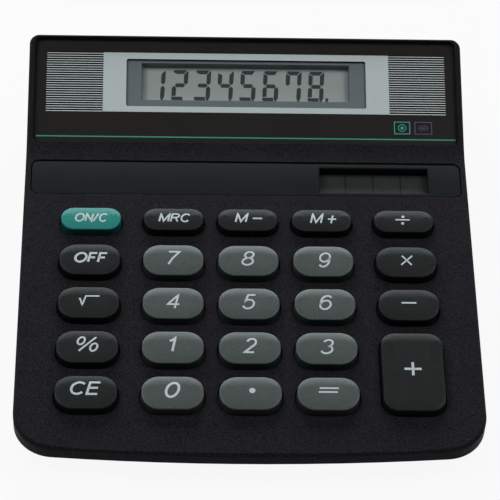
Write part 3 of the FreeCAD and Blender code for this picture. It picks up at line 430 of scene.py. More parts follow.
band = moulded("satin_black_band", hue(26, 31, 33), hue(30, 35, 37), 0.38, 0.0003, 0.000008, 0.00025,
               Specular_IOR_Level=0.06)
paint(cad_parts["solar_trim"], band)

solar = Finish("amorphous_cells", Coat_Roughness=0.08)
x, y, z = solar.axes(solar.place())
joint = 0.0
for place in CELL_JOINTS:
    joint = joint + (abs(x - place) < CELL_JOINT_W / 2)
film = solar.speckle(0.006)
solar.varies(
    Base_Color=solar.turning(joint, solar.turning(film, hue(38, 42, 41), hue(44, 47, 45)), hue(8, 8, 9)),
    Roughness=0.35 + 0.1 * film,
    Coat_Weight=0.2 - 0.15 * joint,
)
paint(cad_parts["solar_cell"], solar)

# ---- Display ----
# A sandwich of reflector, two glasses and a polariser is pressed by an open frame against the back
# of a slate-grey bezel. Eight slanted figures of seven bars show in its opening.
RIBBON_PITCH = 0.0012
CARBON_SHARE = 0.5
BRUSHING = (400.0, 6000.0, 6000.0)
HAZE_SIZE = 0.0004

bezel = moulded("satin_slate_bezel", hue(98, 110, 114), hue(104, 116, 120), 0.45, 0.0003, 0.000006,
                0.0002, Specular_IOR_Level=0.4)
paint(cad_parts["lcd_bezel"], bezel)
paint(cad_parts["lcd_clamp"], moulded(
    "white_display_frame", hue(205, 205, 200), hue(216, 216, 211), 0.5, 0.0005, 0.00001, 0.0002))

ribbon = Finish("heat_seal_ribbon")
x, y, z = ribbon.axes(ribbon.place())
carbon = abs((x / RIBBON_PITCH).phase() - 0.5) < CARBON_SHARE / 2
ribbon.varies(
    Base_Color=ribbon.turning(carbon, hue(172, 160, 128), hue(42, 40, 36)),
    Roughness=0.42 + 0.15 * ribbon.speckle(0.002),
)
paint(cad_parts["display_ribbon"], ribbon)

reflector = Finish("brushed_reflector", Metallic=0.25)
stretched = reflector.node("VectorMath", {"operation": "MULTIPLY"}, {0: reflector.place(), 1: BRUSHING})
brushing = reflector.node("TexNoise", {}, {"Vector": stretched, "Scale": 1.0, "Detail": 2.0})
reflector.varies(
    Base_Color=reflector.turning(brushing, hue(186, 196, 190), hue(200, 210, 204)),
    Roughness=0.5 + 0.1 * brushing,
)
paint(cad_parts["lcd_reflector"], reflector)

glass = Finish("display_glass", Roughness=0.3, Specular_IOR_Level=0.3)
haze = glass.speckle(HAZE_SIZE)
glass.varies(
    Base_Color=glass.turning(haze, hue(173, 182, 180), hue(183, 192, 190)),
    Normal=glass.relief(haze, 0.000003, 0.0001),
)
for name in ("lcd_front_glass", "lcd_rear_glass"):
    paint(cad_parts[name], glass)
polariser = Finish("grey_green_polariser", Roughness=0.3, Specular_IOR_Level=0.3)
haze = polariser.speckle(HAZE_SIZE)
polariser.varies(
    Base_Color=polariser.turning(haze, hue(112, 120, 114), hue(120, 128, 122)),
    Alpha=0.06 + 0.02 * haze,
    Normal=polariser.relief(haze, 0.000004, 0.0001),
)
paint(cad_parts["lcd_polariser"], polariser)

HEAD_SLOPE = math.radians(20.8)
HINGE_Y = 30.460
HINGE_Z = 19.630
FIGURE_H = 9.3
FIGURE_W = 4.4
FIGURE_LEAN = 0.056
FIGURE_PITCH = 6.345
FIGURE_X = -27.1
FIGURE_S = 17.75
FIGURE_DEPTH = -4.39
BAR_W = 1.2
BAR_GAP = 0.16
POINT_FROM_FIGURE = 0.6
POINT_W = 0.8
POINT_H = 1.2
LIT_BARS = ("bc", "abged", "abgcd", "fgbc", "afgcd", "afgedc", "fabc", "abcdefg")


def on_head(x, s, n):
    """A place on the display head in metres, from millimetres across, up and out of its face."""
    return Vector((
        0.001 * x,
        0.001 * (HINGE_Y + s * math.cos(HEAD_SLOPE) - n * math.sin(HEAD_SLOPE)),
        0.001 * (HINGE_Z + s * math.sin(HEAD_SLOPE) + n * math.cos(HEAD_SLOPE)),
    ))


def figure_bar(letter):
    """The corners of one bar of a figure, before it leans: blunt at the top, cut off at the foot."""
    w, h, b, g = FIGURE_W, FIGURE_H, BAR_W, BAR_GAP
    half = h / 2
    shoulder = half + g + 0.52 * b
    return {
        "a": [(g, h - b / 2), (b / 3, h), (w - 3 * g, h), (w - b, h - b), (b, h - b)],
        "b": [(w - b, h - b - g), (w - 1.8 * g, h - 1.5 * g), (w, h - 3 * g), (w, shoulder),
              (w - b / 2, half + g), (w - b, shoulder)],
        "c": [(w - b, h - shoulder), (w - b / 2, half - g), (w, h - shoulder), (w, b),
              (w - 0.4 * b, 0.0), (w - 0.75 * b, 0.0), (w - b, 0.9 * b)],
        "d": [(0.0, b), (w - b - g, b), (w - 0.82 * b - g, 0.0), (b / 2, 0.0), (0.0, b / 3)],
        "e": [(0.0, b + g), (b, b + 1.5 * g), (b, h - shoulder), (b / 2, half - g), (0.0, h - shoulder)],
        "f": [(0.0, h - b / 2 - g), (b, h - b - g), (b, shoulder), (b / 2, half + g), (0.0, shoulder)],
        "g": [(b / 2 + g, half), (b, half + b / 2), (w - b, half + b / 2), (w - b / 2 - g, half),
              (w - b, half - b / 2), (b, half - b / 2)],
    }[letter]


figure_points = []
figure_faces = []


def add_figure_shape(corners, left):
    start = len(figure_points)
    for px, py in corners:
        figure_points.append(on_head(left + px + FIGURE_LEAN * py, FIGURE_S + py, FIGURE_DEPTH))
    ring = list(range(start, len(figure_points)))
    a, b, c = (figure_points[n] for n in ring[:3])
    facing_out = (b - a).cross(c - a).z > 0
    figure_faces.append(ring if facing_out else ring[::-1])


for n, bars in enumerate(LIT_BARS):
    for letter in bars:
        add_figure_shape(figure_bar(letter), FIGURE_X + n * FIGURE_PITCH)
point_left = FIGURE_X + 7 * FIGURE_PITCH + FIGURE_W + POINT_FROM_FIGURE
add_figure_shape([(0, 0), (POINT_W, 0), (POINT_W, POINT_H), (0, POINT_H)], point_left)
figures = solid("display_figures", figure_points, figure_faces, smooth=False)
figure_ink = Finish("dark_liquid_crystal", Roughness=0.5)
figure_ink.varies(
    Base_Color=figure_ink.turning(figure_ink.speckle(0.003), hue(29, 36, 41), hue(34, 41, 46)),
    Alpha=0.93 + 0.04 * figure_ink.speckle(0.002),
)
paint(figures, figure_ink)
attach(figures, "case")

# ---- Display lens ----
# A plate of clear acrylic glued into the head. Its back is printed black but for the window, with a
# silver frame, two fields of thin silver lines, a teal rule and the signs for daylight and cell.
LENS_HALF_W = 58.3
LENS_FROM = 3.6
LENS_TO = 34.5
LENS_T = 1.44
LENS_CORNER = 1.4
LENS_ROUND = 0.28
CORNER_STEPS = 8
# the print, in millimetres from the middle and up the head
PRINT_X = 0.16
WINDOW_HALF_W = 33.36
WINDOW_FROM = 14.62
WINDOW_TO = 28.97
WINDOW_CORNER = 0.55
SILVER_HALF_W = 39.76
SILVER_FROM = 12.92
SILVER_TO = 30.87
LINES_HALF_W = 55.46
LINES_TO = 31.02
LINE_PITCH = 0.702
LINE_SHARE = 0.265
RULE_HALF_W = 58.0
RULE_FROM = 5.24
RULE_TO = 5.60
SIGN_FROM = 7.02
SIGN_TO = 10.82
SIGN_MIDDLE = 8.92
DAYLIGHT_FROM = 40.9
DAYLIGHT_TO = 45.4
DAYLIGHT_STROKE = 0.28
BUTTON_FROM = 46.6
BUTTON_TO = 51.5
BUTTON_STROKE = 0.25


def rounded(x, y, width, depth, radius, inset, steps):
    """The outline of a plate with round corners, moved in by an inset, in millimetres."""
    a = width / 2 - radius
    b = depth / 2 - radius
    reach = max(radius - inset, 0.02)
    shrink = inset - radius + reach
    ring = []
    for quarter, (sx, sy) in enumerate(((1, 1), (-1, 1), (-1, -1), (1, -1))):
        for step in range(steps + 1):
            turn = math.radians(90 * (quarter + step / steps))
            ring.append((x + sx * (a - shrink) + reach * math.cos(turn),
                         y + sy * (b - shrink) + reach * math.sin(turn)))
    return ring


def lens_ring(inset, height):
    outline = rounded(0.0, (LENS_FROM + LENS_TO) / 2, 2 * LENS_HALF_W, LENS_TO - LENS_FROM, LENS_CORNER,
                      inset, CORNER_STEPS)
    return [on_head(x, s, height) for x, s in outline]


lens_rings = [lens_ring(0.12, -LENS_T), lens_ring(0.0, -LENS_T + 0.12)]
for step in range(5):
    turn = math.radians(90 * step / 4)
    lens_rings.append(lens_ring(LENS_ROUND * (1 - math.cos(turn)), LENS_ROUND * (math.sin(turn) - 1)))
lens = solid("printed_lens", *stacked(lens_rings))
back, front = lens.data.polygons[0], lens.data.polygons[-1]
back.use_smooth = front.use_smooth = False
acrylic = Finish("clear_acrylic", Roughness=0.1, Specular_IOR_Level=0.2)
haze = acrylic.speckle(0.004)
acrylic.varies(
    Base_Color=acrylic.turning(haze, hue(64, 68, 67), hue(72, 76, 75)),
    Alpha=0.02 + 0.02 * haze,
)

lens_ink = Finish("lens_ink", Specular_IOR_Level=0.05)
x, y, z = lens_ink.axes(lens_ink.place())
x = x * 1000.0 - PRINT_X
s = (y * 1000.0 - HINGE_Y) * math.cos(HEAD_SLOPE) + (z * 1000.0 - HINGE_Z) * math.sin(HEAD_SLOPE)
aside = abs(x)


def within(value, low, high):
    return (value > low) * (value < high)


def frame_line(across, up, x0, x1, s0, s1, stroke):
    """A thin rectangle, printed as an outline."""
    outer = within(across, x0, x1) * within(up, s0, s1)
    inner = within(across, x0 + stroke, x1 - stroke) * within(up, s0 + stroke, s1 - stroke)
    return outer - inner


def away(across, up, cx, cs, squeeze=1.0):
    """Distance from a spot, with a factor that flattens its rings."""
    dx = across - cx
    ds = (up - cs) * squeeze
    return (dx * dx + ds * ds).math("SQRT")


def round_cornered(across, up, half_w, s0, s1, radius):
    """A rectangle with round corners that lies evenly about the middle."""
    dx = (abs(across) - (half_w - radius)).most(0.0)
    ds = (abs(up - (s0 + s1) / 2) - ((s1 - s0) / 2 - radius)).most(0.0)
    return (dx * dx + ds * ds).math("SQRT") < radius


window = round_cornered(x, s, WINDOW_HALF_W, WINDOW_FROM, WINDOW_TO, WINDOW_CORNER)
silver = (aside < SILVER_HALF_W) * within(s, SILVER_FROM, SILVER_TO)
line_field = within(aside, SILVER_HALF_W, LINES_HALF_W) * within(s, SILVER_FROM, LINES_TO)
lines = line_field * (((s - SILVER_FROM) / LINE_PITCH).phase() < LINE_SHARE)
rule = within(s, RULE_FROM, RULE_TO) * (aside < RULE_HALF_W)
sun_spot = away(x, s, (DAYLIGHT_FROM + DAYLIGHT_TO) / 2, SIGN_MIDDLE)
sun = (sun_spot < 0.5).most(within(sun_spot, 0.9, 1.15))
daylight = frame_line(x, s, DAYLIGHT_FROM, DAYLIGHT_TO, SIGN_FROM, SIGN_TO, DAYLIGHT_STROKE).most(sun)
cell_spot = away(x, s, (BUTTON_FROM + BUTTON_TO) / 2, SIGN_MIDDLE, 1.8)
cell_sign = within(cell_spot, 1.05, 1.35).most((cell_spot < 0.55) * (abs(s - SIGN_MIDDLE) < 0.2))
button = frame_line(x, s, BUTTON_FROM, BUTTON_TO, SIGN_FROM, SIGN_TO, BUTTON_STROKE).most(cell_sign)
cloud = lens_ink.speckle(0.015)
black_ink = lens_ink.turning(cloud, hue(36, 35, 33), hue(42, 40, 38))
silver_ink = lens_ink.turning(lens_ink.speckle(0.0006), hue(189, 201, 203), hue(202, 213, 214))
fine_lines = lens_ink.turning(lines, hue(12, 12, 12), hue(226, 235, 236))
colour = lens_ink.turning(silver, black_ink, silver_ink)
colour = lens_ink.turning(line_field, colour, fine_lines)
colour = lens_ink.turning(rule.most(daylight), colour, hue(66, 156, 144))
colour = lens_ink.turning(button, colour, hue(92, 84, 112))
lens_ink.varies(
    Base_Color=colour,
    Roughness=0.42 - 0.05 * silver,
    Alpha=1 - window,
    Normal=lens_ink.relief(lens_ink.speckle(0.03), 0.00002, 0.0001),
)
paint(lens, acrylic)
lens.data.materials.append(lens_ink.material)
back.material_index = 1
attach(lens, "case")
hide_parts("display_lens")

# ---- Keys ----
# Twenty-four caps moulded in ABS: slightly pillowed, rounded off towards the rear and crisp at the
# front, with drafted walls and a flange under the deck. Figure keys are mid-grey, function keys are
# dark, and the one that switches on is teal.
DECK_SLOPE = math.radians(6.0)
DECK_Y = -47.113
DECK_Z = 11.477
KEY_W = 15.9
KEY_D = 9.8
TOP_KEY_D = 7.25
TALL_KEY_D = 23.45
KEY_RISE = 2.6
KEY_DRAFT = math.tan(math.radians(4.0))
FLANGE_TOP = -2.05
STEM_END = -3.05
FLANGE_LAP = 1.18
KEY_STEPS = 10
KEY_EDGE = 0.16
KEY_CREASE = 0.06
KEY_INSETS = (0.0, 0.015, 0.05, 0.10, 0.17, 0.35, 0.65, 1.0, 1.4, 1.85, 2.4, 3.1)
# drop at the outline and how far in it reaches, at the rear, at the ends and at the front
REAR_DROP = (0.60, 4.0)
END_DROP = (0.14, 0.9)
FRONT_DROP = (0.30, 3.4)
KEY_SHEEN = (0.78, 0.97, 1.0, 1.0)
# painted shade on the caps' skirts: the height above the deck where it begins, and how far below that it
# reaches full strength
SKIRT_SHADE_FROM = 1.95
SKIRT_SHADE_FADE = 0.35


def on_deck(x, y, n):
    """A place on the key deck in metres, from millimetres across, up and out of its face."""
    return Vector((
        0.001 * x,
        0.001 * (DECK_Y + y * math.cos(DECK_SLOPE) - n * math.sin(DECK_SLOPE)),
        0.001 * (DECK_Z + y * math.sin(DECK_SLOPE) + n * math.cos(DECK_SLOPE)),
    ))


def above_deck(x, y, z):
    """The height of a place above the deck's face, all in millimetres."""
    return (z - DECK_Z) * math.cos(DECK_SLOPE) - (y - DECK_Y) * math.sin(DECK_SLOPE)


def cap_plastic(name, dark, light, skirt_shade, gloss):
    """Plastic of a cap, satin on top, with painted shade that darkens its drafted skirt below the top.
    """
    finish = moulded(name, dark, light, 0.36, 0.0004, 0.00001, 0.0001, Specular_IOR_Level=gloss,
                     Specular_Tint=KEY_SHEEN)
    x, y, z = finish.axes(finish.place())
    height = above_deck(x * 1000.0, y * 1000.0, z * 1000.0)
    # share of painted shade, growing down the skirt
    down = ((SKIRT_SHADE_FROM - height) / SKIRT_SHADE_FADE).most(0.0).least(1.0)
    top = Signal(finish, finish.shader.inputs["Base Color"].links[0].from_socket)
    return finish.varies(Base_Color=finish.turning(down, top, skirt_shade))


# the last colour of each cap is the painted shade on its skirt
FIGURE_KEY = cap_plastic("mid_grey_key", hue(67, 73, 71), hue(78, 84, 82), hue(53, 56, 55), 0.28)
FUNCTION_KEY = cap_plastic("dark_grey_key", hue(30, 32, 32), hue(38, 40, 40), hue(26, 27, 27), 0.11)
ON_KEY = cap_plastic("teal_key", hue(39, 123, 117), hue(50, 134, 128), hue(28, 88, 83), 0.17)


def between(share, first, second):
    return tuple(a + share * (b - a) for a, b in zip(first, second))


def crown(normal_y, inset):
    """How far a key's top has dropped at this inset, for the way that its edge faces there."""
    share = abs(normal_y) ** 1.5
    drop, reach = between(share, END_DROP, REAR_DROP if normal_y > 0 else FRONT_DROP)
    return drop * max(0.0, 1 - inset / reach) ** 2


def key_mesh(x, y, depth, corner):
    """The cap's rings in deck millimetres, from the flange's under side to the top."""
    flange = rounded(x, y, KEY_W + 2 * FLANGE_LAP, depth + 2 * FLANGE_LAP, corner + FLANGE_LAP,
                     0.0, KEY_STEPS)
    rings = [[(px, py, height) for px, py in flange] for height in (STEM_END, FLANGE_TOP)]
    for height in (FLANGE_TOP, FLANGE_TOP + KEY_CREASE):
        outline = rounded(x, y, KEY_W, depth, corner, -KEY_DRAFT * (KEY_RISE - height), KEY_STEPS)
        rings.append([(px, py, height) for px, py in outline])
    for inset, lower in [(-KEY_DRAFT * KEY_CREASE, KEY_CREASE)] + [(inset, 0.0) for inset in KEY_INSETS]:
        edge_left = max(0.0, KEY_EDGE - inset)
        round_off = KEY_EDGE - math.sqrt(max(0.0, KEY_EDGE ** 2 - edge_left ** 2))
        ring = []
        for n, (px, py) in enumerate(rounded(x, y, KEY_W, depth, corner, inset, KEY_STEPS)):
            quarter, step = divmod(n, KEY_STEPS + 1)
            facing = math.sin(math.radians(90 * (quarter + step / KEY_STEPS)))
            ring.append((px, py, KEY_RISE - crown(facing, max(inset, 0.0)) - round_off - lower))
        rings.append(ring)
    return rings


PEN_STEP = 0.5
PEN_TURN = 15
DOT_STEPS = 24
SLANT = 0.2
LETTER_GAP = 0.26


def arc(cx, cy, rx, ry, start, end):
    """Points along an ellipse, from one angle to the other in degrees."""
    steps = max(2, round(abs(end - start) / PEN_TURN))
    angles = [math.radians(start + (end - start) * n / steps) for n in range(steps + 1)]
    return [(cx + rx * math.cos(angle), cy + ry * math.sin(angle)) for angle in angles]


# width and pen paths of each sign, a capital being 1 high
GLYPHS = {
    "0": (0.62, [arc(0.31, 0.5, 0.31, 0.5, 0, 360)]),
    "1": (0.34, [[(0.0, 0.76), (0.2, 0.82), (0.34, 1.0), (0.34, 0.0)]]),
    "2": (0.6, [arc(0.3, 0.71, 0.28, 0.29, 165, -35) + [(0.0, 0.0), (0.6, 0.0)]]),
    "3": (0.6, [arc(0.28, 0.75, 0.25, 0.25, 160, -65) + arc(0.29, 0.27, 0.3, 0.27, 70, -160)]),
    "4": (0.64, [[(0.44, 0.0), (0.44, 1.0), (0.0, 0.3), (0.64, 0.3)]]),
    "5": (0.6, [[(0.56, 1.0), (0.15, 1.0), (0.06, 0.48)] + arc(0.29, 0.32, 0.31, 0.32, 130, -160)]),
    "6": (0.6, [arc(0.32, 0.6, 0.3, 0.4, 40, 180) + [(0.02, 0.32)],
                arc(0.31, 0.32, 0.29, 0.32, 0, 360)]),
    "7": (0.58, [[(0.0, 1.0), (0.58, 1.0), (0.3, 0.45), (0.18, 0.0)]]),
    "8": (0.6, [arc(0.3, 0.76, 0.24, 0.24, 0, 360), arc(0.3, 0.26, 0.3, 0.26, 0, 360)]),
    "9": (0.6, [arc(0.28, 0.4, 0.3, 0.4, 220, 360) + [(0.58, 0.68)],
                arc(0.29, 0.68, 0.29, 0.32, 0, 360)]),
    "C": (0.76, [arc(0.41, 0.5, 0.41, 0.5, 42, 318)]),
    "E": (0.62, [[(0.6, 1.0), (0.0, 1.0), (0.0, 0.0), (0.62, 0.0)], [(0.0, 0.52), (0.56, 0.52)]]),
    "F": (0.58, [[(0.58, 1.0), (0.0, 1.0), (0.0, 0.0)], [(0.0, 0.5), (0.5, 0.5)]]),
    "M": (0.84, [[(0.0, 0.0), (0.0, 1.0), (0.42, 0.05), (0.84, 1.0), (0.84, 0.0)]]),
    "N": (0.72, [[(0.0, 0.0), (0.0, 1.0), (0.72, 0.0), (0.72, 1.0)]]),
    "O": (0.92, [arc(0.46, 0.5, 0.46, 0.5, 0, 360)]),
    "R": (0.68, [[(0.0, 0.0), (0.0, 1.0), (0.38, 1.0)] + arc(0.4, 0.75, 0.26, 0.25, 75, -90)
                 + [(0.0, 0.5)], [(0.38, 0.5), (0.66, 0.0)]]),
    "/": (0.34, [[(-0.04, -0.02), (0.34, 1.04)]]),
    "%": (1.0, [arc(0.16, 0.73, 0.16, 0.27, 0, 360), arc(0.84, 0.27, 0.16, 0.27, 0, 360),
                [(0.2, 0.0), (0.8, 1.0)]]),
    "-": (0.78, [[(0.0, 0.42), (0.78, 0.42)]]),
    "+": (0.7, [[(0.0, 0.42), (0.7, 0.42)], [(0.35, -0.02), (0.35, 0.84)]]),
    " ": (0.0, []),
}


def inked(path, width):
    """A pen stroke of even width along a path, as points and faces with mitred corners."""
    closed = math.dist(path[0], path[-1]) < 0.001
    line = []
    for start, end in zip(path, path[1:]):
        steps = max(1, math.ceil(math.dist(start, end) / PEN_STEP))
        line += [Vector(between(n / steps, start, end)) for n in range(steps)]
    if not closed:
        line.append(Vector(path[-1]))
    count = len(line)
    points = []
    for n, point in enumerate(line):
        before = point - line[n - 1] if closed or n > 0 else line[1] - point
        after = line[(n + 1) % count] - point if closed or n < count - 1 else before
        before, after = before.normalized(), after.normalized()
        side = Vector((-before.y - after.y, before.x + after.x)).normalized()
        reach = width / 2 / max(side.dot(Vector((-before.y, before.x))), 0.5)
        points += [tuple(point - reach * side), tuple(point + reach * side)]
    faces = []
    for n in range(count if closed else count - 1):
        m = (n + 1) % count
        faces.append((2 * n, 2 * m, 2 * m + 1, 2 * n + 1))
    return points, faces


def dot(cx, cy, radius):
    """A round spot, as points and one face."""
    angles = [math.tau * n / DOT_STEPS for n in range(DOT_STEPS)]
    ring = [(cx + radius * math.cos(angle), cy + radius * math.sin(angle)) for angle in angles]
    return ring, [tuple(range(DOT_STEPS))]


def written(text, width, x0, x1, y0, y1):
    """Slanted letters that fill a box, each pen stroke in it as points and faces."""
    paths = []
    across = 0.0
    for letter in text:
        room, drawn = GLYPHS[letter]
        paths += [[(across + px + SLANT * py, py) for px, py in path] for path in drawn]
        across += room + LETTER_GAP
    low = min(px for path in paths for px, py in path)
    high = max(px for path in paths for px, py in path)
    fit_x = (x1 - x0 - width) / (high - low)
    fit_y = y1 - y0 - width
    left, foot = x0 + width / 2, y0 + width / 2
    return [
        inked([(left + (px - low) * fit_x, foot + py * fit_y) for px, py in path], width)
        for path in paths
    ]


def signs(width, *paths):
    return [inked(path, width) for path in paths]


BOLD = 0.62
PLAIN = 0.53
SMALL = 0.48
FINE = 0.43
X = (-41.85, -19.83, 0.0, 19.83, 41.85)
ROW = 13.65
TOP_ROW = 54.22
TOP = (TOP_ROW, TOP_KEY_D, 3.55)
ROWS = [(line * ROW, KEY_D, 4.6) for line in range(4)]
KEYS = (
    # name, column, row line with depth and corner, finish, slot, legend
    ("on_clear", X[0], TOP, ON_KEY, "key_teal", written("ON/C", SMALL, -4.3, 4.4, -1.45, 1.5)),
    ("memory_recall", X[1], TOP, FUNCTION_KEY, "key_dark", written("MRC", SMALL, -4.1, 4.5, -1.3, 1.7)),
    ("memory_minus", X[2], TOP, FUNCTION_KEY, "key_dark",
     written("M -", SMALL, -3.5, 4.05, -1.25, 2.05)),
    ("memory_plus", X[3], TOP, FUNCTION_KEY, "key_dark",
     written("M +", SMALL, -3.2, 4.1, -1.35, 2.2)),
    ("divide", X[4], TOP, FUNCTION_KEY, "key_dark",
     signs(FINE, [(-2.2, 0.17), (1.6, 0.17)]) + [dot(-0.13, 1.25, 0.42), dot(-0.33, -1.0, 0.42)]),
    ("off", X[0], ROWS[3], FUNCTION_KEY, "key_dark", written("OFF", BOLD, -4.1, 4.85, -1.45, 2.0)),
    ("7", X[1], ROWS[3], FIGURE_KEY, "key_grey", written("7", PLAIN, -1.55, 1.9, -1.92, 2.65)),
    ("8", X[2], ROWS[3], FIGURE_KEY, "key_grey", written("8", PLAIN, -1.87, 1.63, -1.95, 2.82)),
    ("9", X[3], ROWS[3], FIGURE_KEY, "key_grey", written("9", PLAIN, -1.35, 2.05, -2.32, 2.60)),
    ("times", X[4], ROWS[3], FUNCTION_KEY, "key_dark",
     signs(FINE, [(-1.42, -1.25), (1.62, 1.7)], [(1.35, -1.25), (-1.1, 1.7)])),
    ("root", X[0], ROWS[2], FUNCTION_KEY, "key_dark",
     signs(FINE, [(-2.5, 0.75), (-2.2, 0.85), (-1.6, -1.1), (-0.7, 1.7), (2.85, 1.7)])),
    ("4", X[1], ROWS[2], FIGURE_KEY, "key_grey", written("4", PLAIN, -1.65, 1.9, -2.17, 2.50)),
    ("5", X[2], ROWS[2], FIGURE_KEY, "key_grey", written("5", PLAIN, -1.85, 1.9, -2.1, 2.75)),
    ("6", X[3], ROWS[2], FIGURE_KEY, "key_grey", written("6", PLAIN, -1.55, 1.95, -2.12, 2.65)),
    ("minus", X[4], ROWS[2], FUNCTION_KEY, "key_dark", signs(0.5, [(-1.98, 0.36), (1.93, 0.36)])),
    ("percent", X[0], ROWS[1], FUNCTION_KEY, "key_dark", written("%", 0.5, -2.7, 2.9, -1.85, 2.9)),
    ("1", X[1], ROWS[1], FIGURE_KEY, "key_grey", written("1", 0.64, -1.15, 0.95, -1.82, 3.00)),
    ("2", X[2], ROWS[1], FIGURE_KEY, "key_grey", written("2", 0.57, -1.7, 1.85, -1.92, 2.80)),
    ("3", X[3], ROWS[1], FIGURE_KEY, "key_grey", written("3", PLAIN, -1.7, 1.85, -2.07, 2.60)),
    ("ce", X[0], ROWS[0], FUNCTION_KEY, "key_dark", written("CE", BOLD, -3.98, 4.0, -1.15, 2.98)),
    ("0", X[1], ROWS[0], FIGURE_KEY, "key_grey", written("0", 0.68, -2.0, 1.95, -1.87, 3.00)),
    ("point", X[2], ROWS[0], FIGURE_KEY, "key_grey", [dot(0.39, 0.5, 0.78)]),
    ("equals", X[3], ROWS[0], FIGURE_KEY, "key_grey",
     signs(0.5, [(-2.5, 0.2), (2.35, 0.2)], [(-2.25, 1.35), (2.6, 1.35)])),
    ("plus", X[4], (ROW / 2, TALL_KEY_D, 3.8), FUNCTION_KEY, "key_dark",
     signs(0.68, [(-2.3, 0.5), (2.1, 0.5)], [(-0.1, -1.45), (-0.1, 2.5)])),
)

INK_LIFT = 0.03

legend_ink = Finish("pale_pad_print", Roughness=0.5, Specular_IOR_Level=0.3)
wear = legend_ink.speckle(0.0007)
legend_ink.varies(
    Base_Color=legend_ink.turning(wear, hue(174, 186, 190), hue(188, 199, 203)),
    Normal=legend_ink.relief(wear, 0.000004, 0.00005),
)

for name, x, (y, depth, corner), finish, slot_name, legend in KEYS:
    rings = key_mesh(x, y, depth, corner)
    flat_points, faces = stacked(rings)
    key = solid("keycap_" + name, [on_deck(*point) for point in flat_points], faces)
    paint(key, finish)
    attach(key, "key_" + name)
    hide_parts("key_" + name)

    cap = BVHTree.FromPolygons([Vector(point) for point in flat_points], faces)
    placed = []
    faces = []
    for stroke_points, stroke_faces in legend:
        faces += [tuple(len(placed) + n for n in face) for face in stroke_faces]
        for px, py in stroke_points:
            hit = cap.ray_cast(Vector((x + px, y + py, 10.0)), Vector((0, 0, -1)))
            placed.append(on_deck(x + px, y + py, hit[0].z + INK_LIFT))
    ink = solid("legend_" + name, placed, faces)
    paint(ink, legend_ink)
    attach(ink, "key_" + name)

# ---- Rubber key mat ----
# One sheet of pale grey silicone on the board with a pad under each key. On the real mat the pad folds
# flat as the key goes down and closes the contact under it; here the pads are shaped at rest. It is
# slightly waxy and picks up lint.
MAT_TOP = -4.55
PAD_CORNER = 0.8
WELD = 0.000001
# width of a pad and its height above the sheet
PAD_PROFILE = (
    (6.4, -0.05), (6.3, 0.1), (5.75, 0.35), (5.2, 0.7), (4.65, 1.02), (4.2, 1.3), (3.8, 1.4),
)

silicone = moulded("grey_silicone", hue(138, 140, 138), hue(156, 158, 155), 0.62, 0.0009, 0.00002,
                   0.0004, Subsurface_Weight=0.05, Subsurface_Scale=0.001)
sheet_mesh = bmesh.new()
sheet_mesh.from_mesh(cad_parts["rubber_keypad"].data)
bmesh.ops.remove_doubles(sheet_mesh, verts=sheet_mesh.verts, dist=WELD)
pad_tops = [corner for corner in sheet_mesh.verts if above_deck(*corner.co * 1000.0) > MAT_TOP + 0.05]
bmesh.ops.delete(sheet_mesh, geom=pad_tops, context="VERTS")
bmesh.ops.holes_fill(sheet_mesh, edges=[edge for edge in sheet_mesh.edges if edge.is_boundary])
bmesh.ops.recalc_face_normals(sheet_mesh, faces=sheet_mesh.faces)
sheet = solid("silicone_sheet", [], [])
sheet_mesh.to_mesh(sheet.data)
sheet_mesh.free()
sheet.data.polygons.foreach_set("use_smooth", [False] * len(sheet.data.polygons))
paint(sheet, silicone)
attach(sheet, "case")
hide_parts("rubber_keypad")

for name, x, (y, _, _), *_ in KEYS:
    rings = [
        [on_deck(px, py, MAT_TOP + height) for px, py in rounded(x, y, width, width, PAD_CORNER, 0.0, 4)]
        for width, height in PAD_PROFILE
    ]
    pad = solid("silicone_pad_" + name, *stacked(rings))
    paint(pad, silicone)
    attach(pad, "case")
    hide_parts("rubber_keypad")
    "press_" + name
    tuple(on_deck(x, y, MAT_TOP))
    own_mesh(pad)

# ---- Housing screws ----
# Two zinc-plated pan-head screws with a cross recess, driven from below through the tray into the
# bosses of the top housing.
SCREW_X = 53.6
SCREW_STEPS = 48
SCREW_HEAD_R = 2.0
SCREW_HEAD_T = 1.4
SCREW_DOME = 0.45
SCREW_FLAT_R = 1.85
# radius and height of the head's rounded rim
SCREW_RIM = ((1.95, 0.47), (SCREW_HEAD_R, 0.58))
THREAD_R = 0.98
THREAD_ROOT = 0.74
THREAD_PITCH = 0.8
RECESS_DEPTH = 0.85
RECESS_REACH = 1.05
RECESS_HALF_W = 0.27


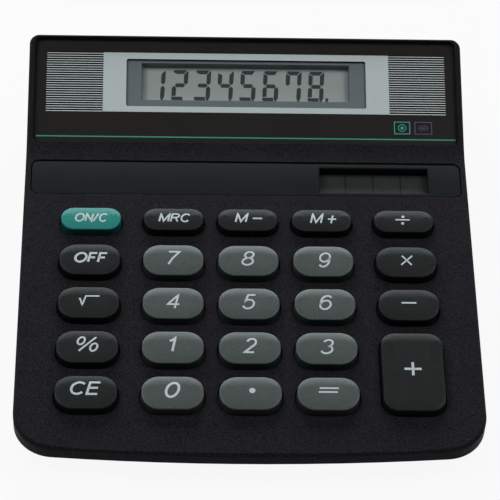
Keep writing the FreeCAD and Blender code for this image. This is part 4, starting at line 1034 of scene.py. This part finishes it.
def screw_rings(length):
    """Radii and heights in millimetres round a screw that stands on its head."""
    turns = [math.tau * n / SCREW_STEPS for n in range(SCREW_STEPS)]
    cross = []
    for turn in turns:
        along, across = sorted((abs(math.cos(turn)), abs(math.sin(turn))), reverse=True)
        cross.append(min(RECESS_REACH / along, RECESS_HALF_W / max(across, 0.001)))
    dome = SCREW_DOME / SCREW_HEAD_R ** 2
    rings = [
        [(0.5 * reach, RECESS_DEPTH) for reach in cross],
        [(0.55 * reach, RECESS_DEPTH - 0.05) for reach in cross],
        [(reach, dome * reach ** 2) for reach in cross],
    ]
    for share in (0.35, 0.7, 0.9):
        spread = [reach + share * (SCREW_FLAT_R - reach) for reach in cross]
        rings.append([(radius, dome * radius ** 2) for radius in spread])
    for radius, height in SCREW_RIM + ((SCREW_HEAD_R, SCREW_HEAD_T), (THREAD_ROOT, SCREW_HEAD_T)):
        rings.append([(radius, height)] * SCREW_STEPS)
    shank = length - SCREW_HEAD_T - 0.6
    steps = round(8 * shank / THREAD_PITCH)
    for step in range(1, steps + 1):
        height = shank * step / steps
        runs_in = min(1.0, height / 0.5, (shank - height) / 0.7 + 0.1)
        ring = []
        for turn in turns:
            ridge = abs((height / THREAD_PITCH - turn / math.tau) % 1 * 2 - 1)
            ring.append((THREAD_ROOT + (THREAD_R - THREAD_ROOT) * runs_in * max(0.0, 1.6 * ridge - 0.6),
                         SCREW_HEAD_T + height))
        rings.append(ring)
    rings.append([(0.12, length)] * SCREW_STEPS)
    return rings, turns


screw_low, screw_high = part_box("housing_screws")
screw_middle = 500 * (screw_low.y + screw_high.y)
screw_points = []
screw_faces = []
for side in (-1, 1):
    rings, turns = screw_rings(1000 * (screw_high.z - screw_low.z))
    placed = [
        [Vector((side * SCREW_X + radius * math.cos(turn), screw_middle + radius * math.sin(turn),
                 1000 * screw_low.z + height)) / 1000 for (radius, height), turn in zip(ring, turns)]
        for ring in rings
    ]
    points, faces = stacked(placed)
    screw_faces += [tuple(len(screw_points) + n for n in face) for face in faces]
    screw_points += points
screws = solid("cross_recess_screws", screw_points, screw_faces)
screws.data.set_sharp_from_angle(angle=math.radians(32))
zinc = plated("zinc_plate", hue(150, 152, 150), hue(178, 180, 178), 0.34, 0.0006)
paint(screws, zinc)
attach(screws, "case")
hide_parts("housing_screws")
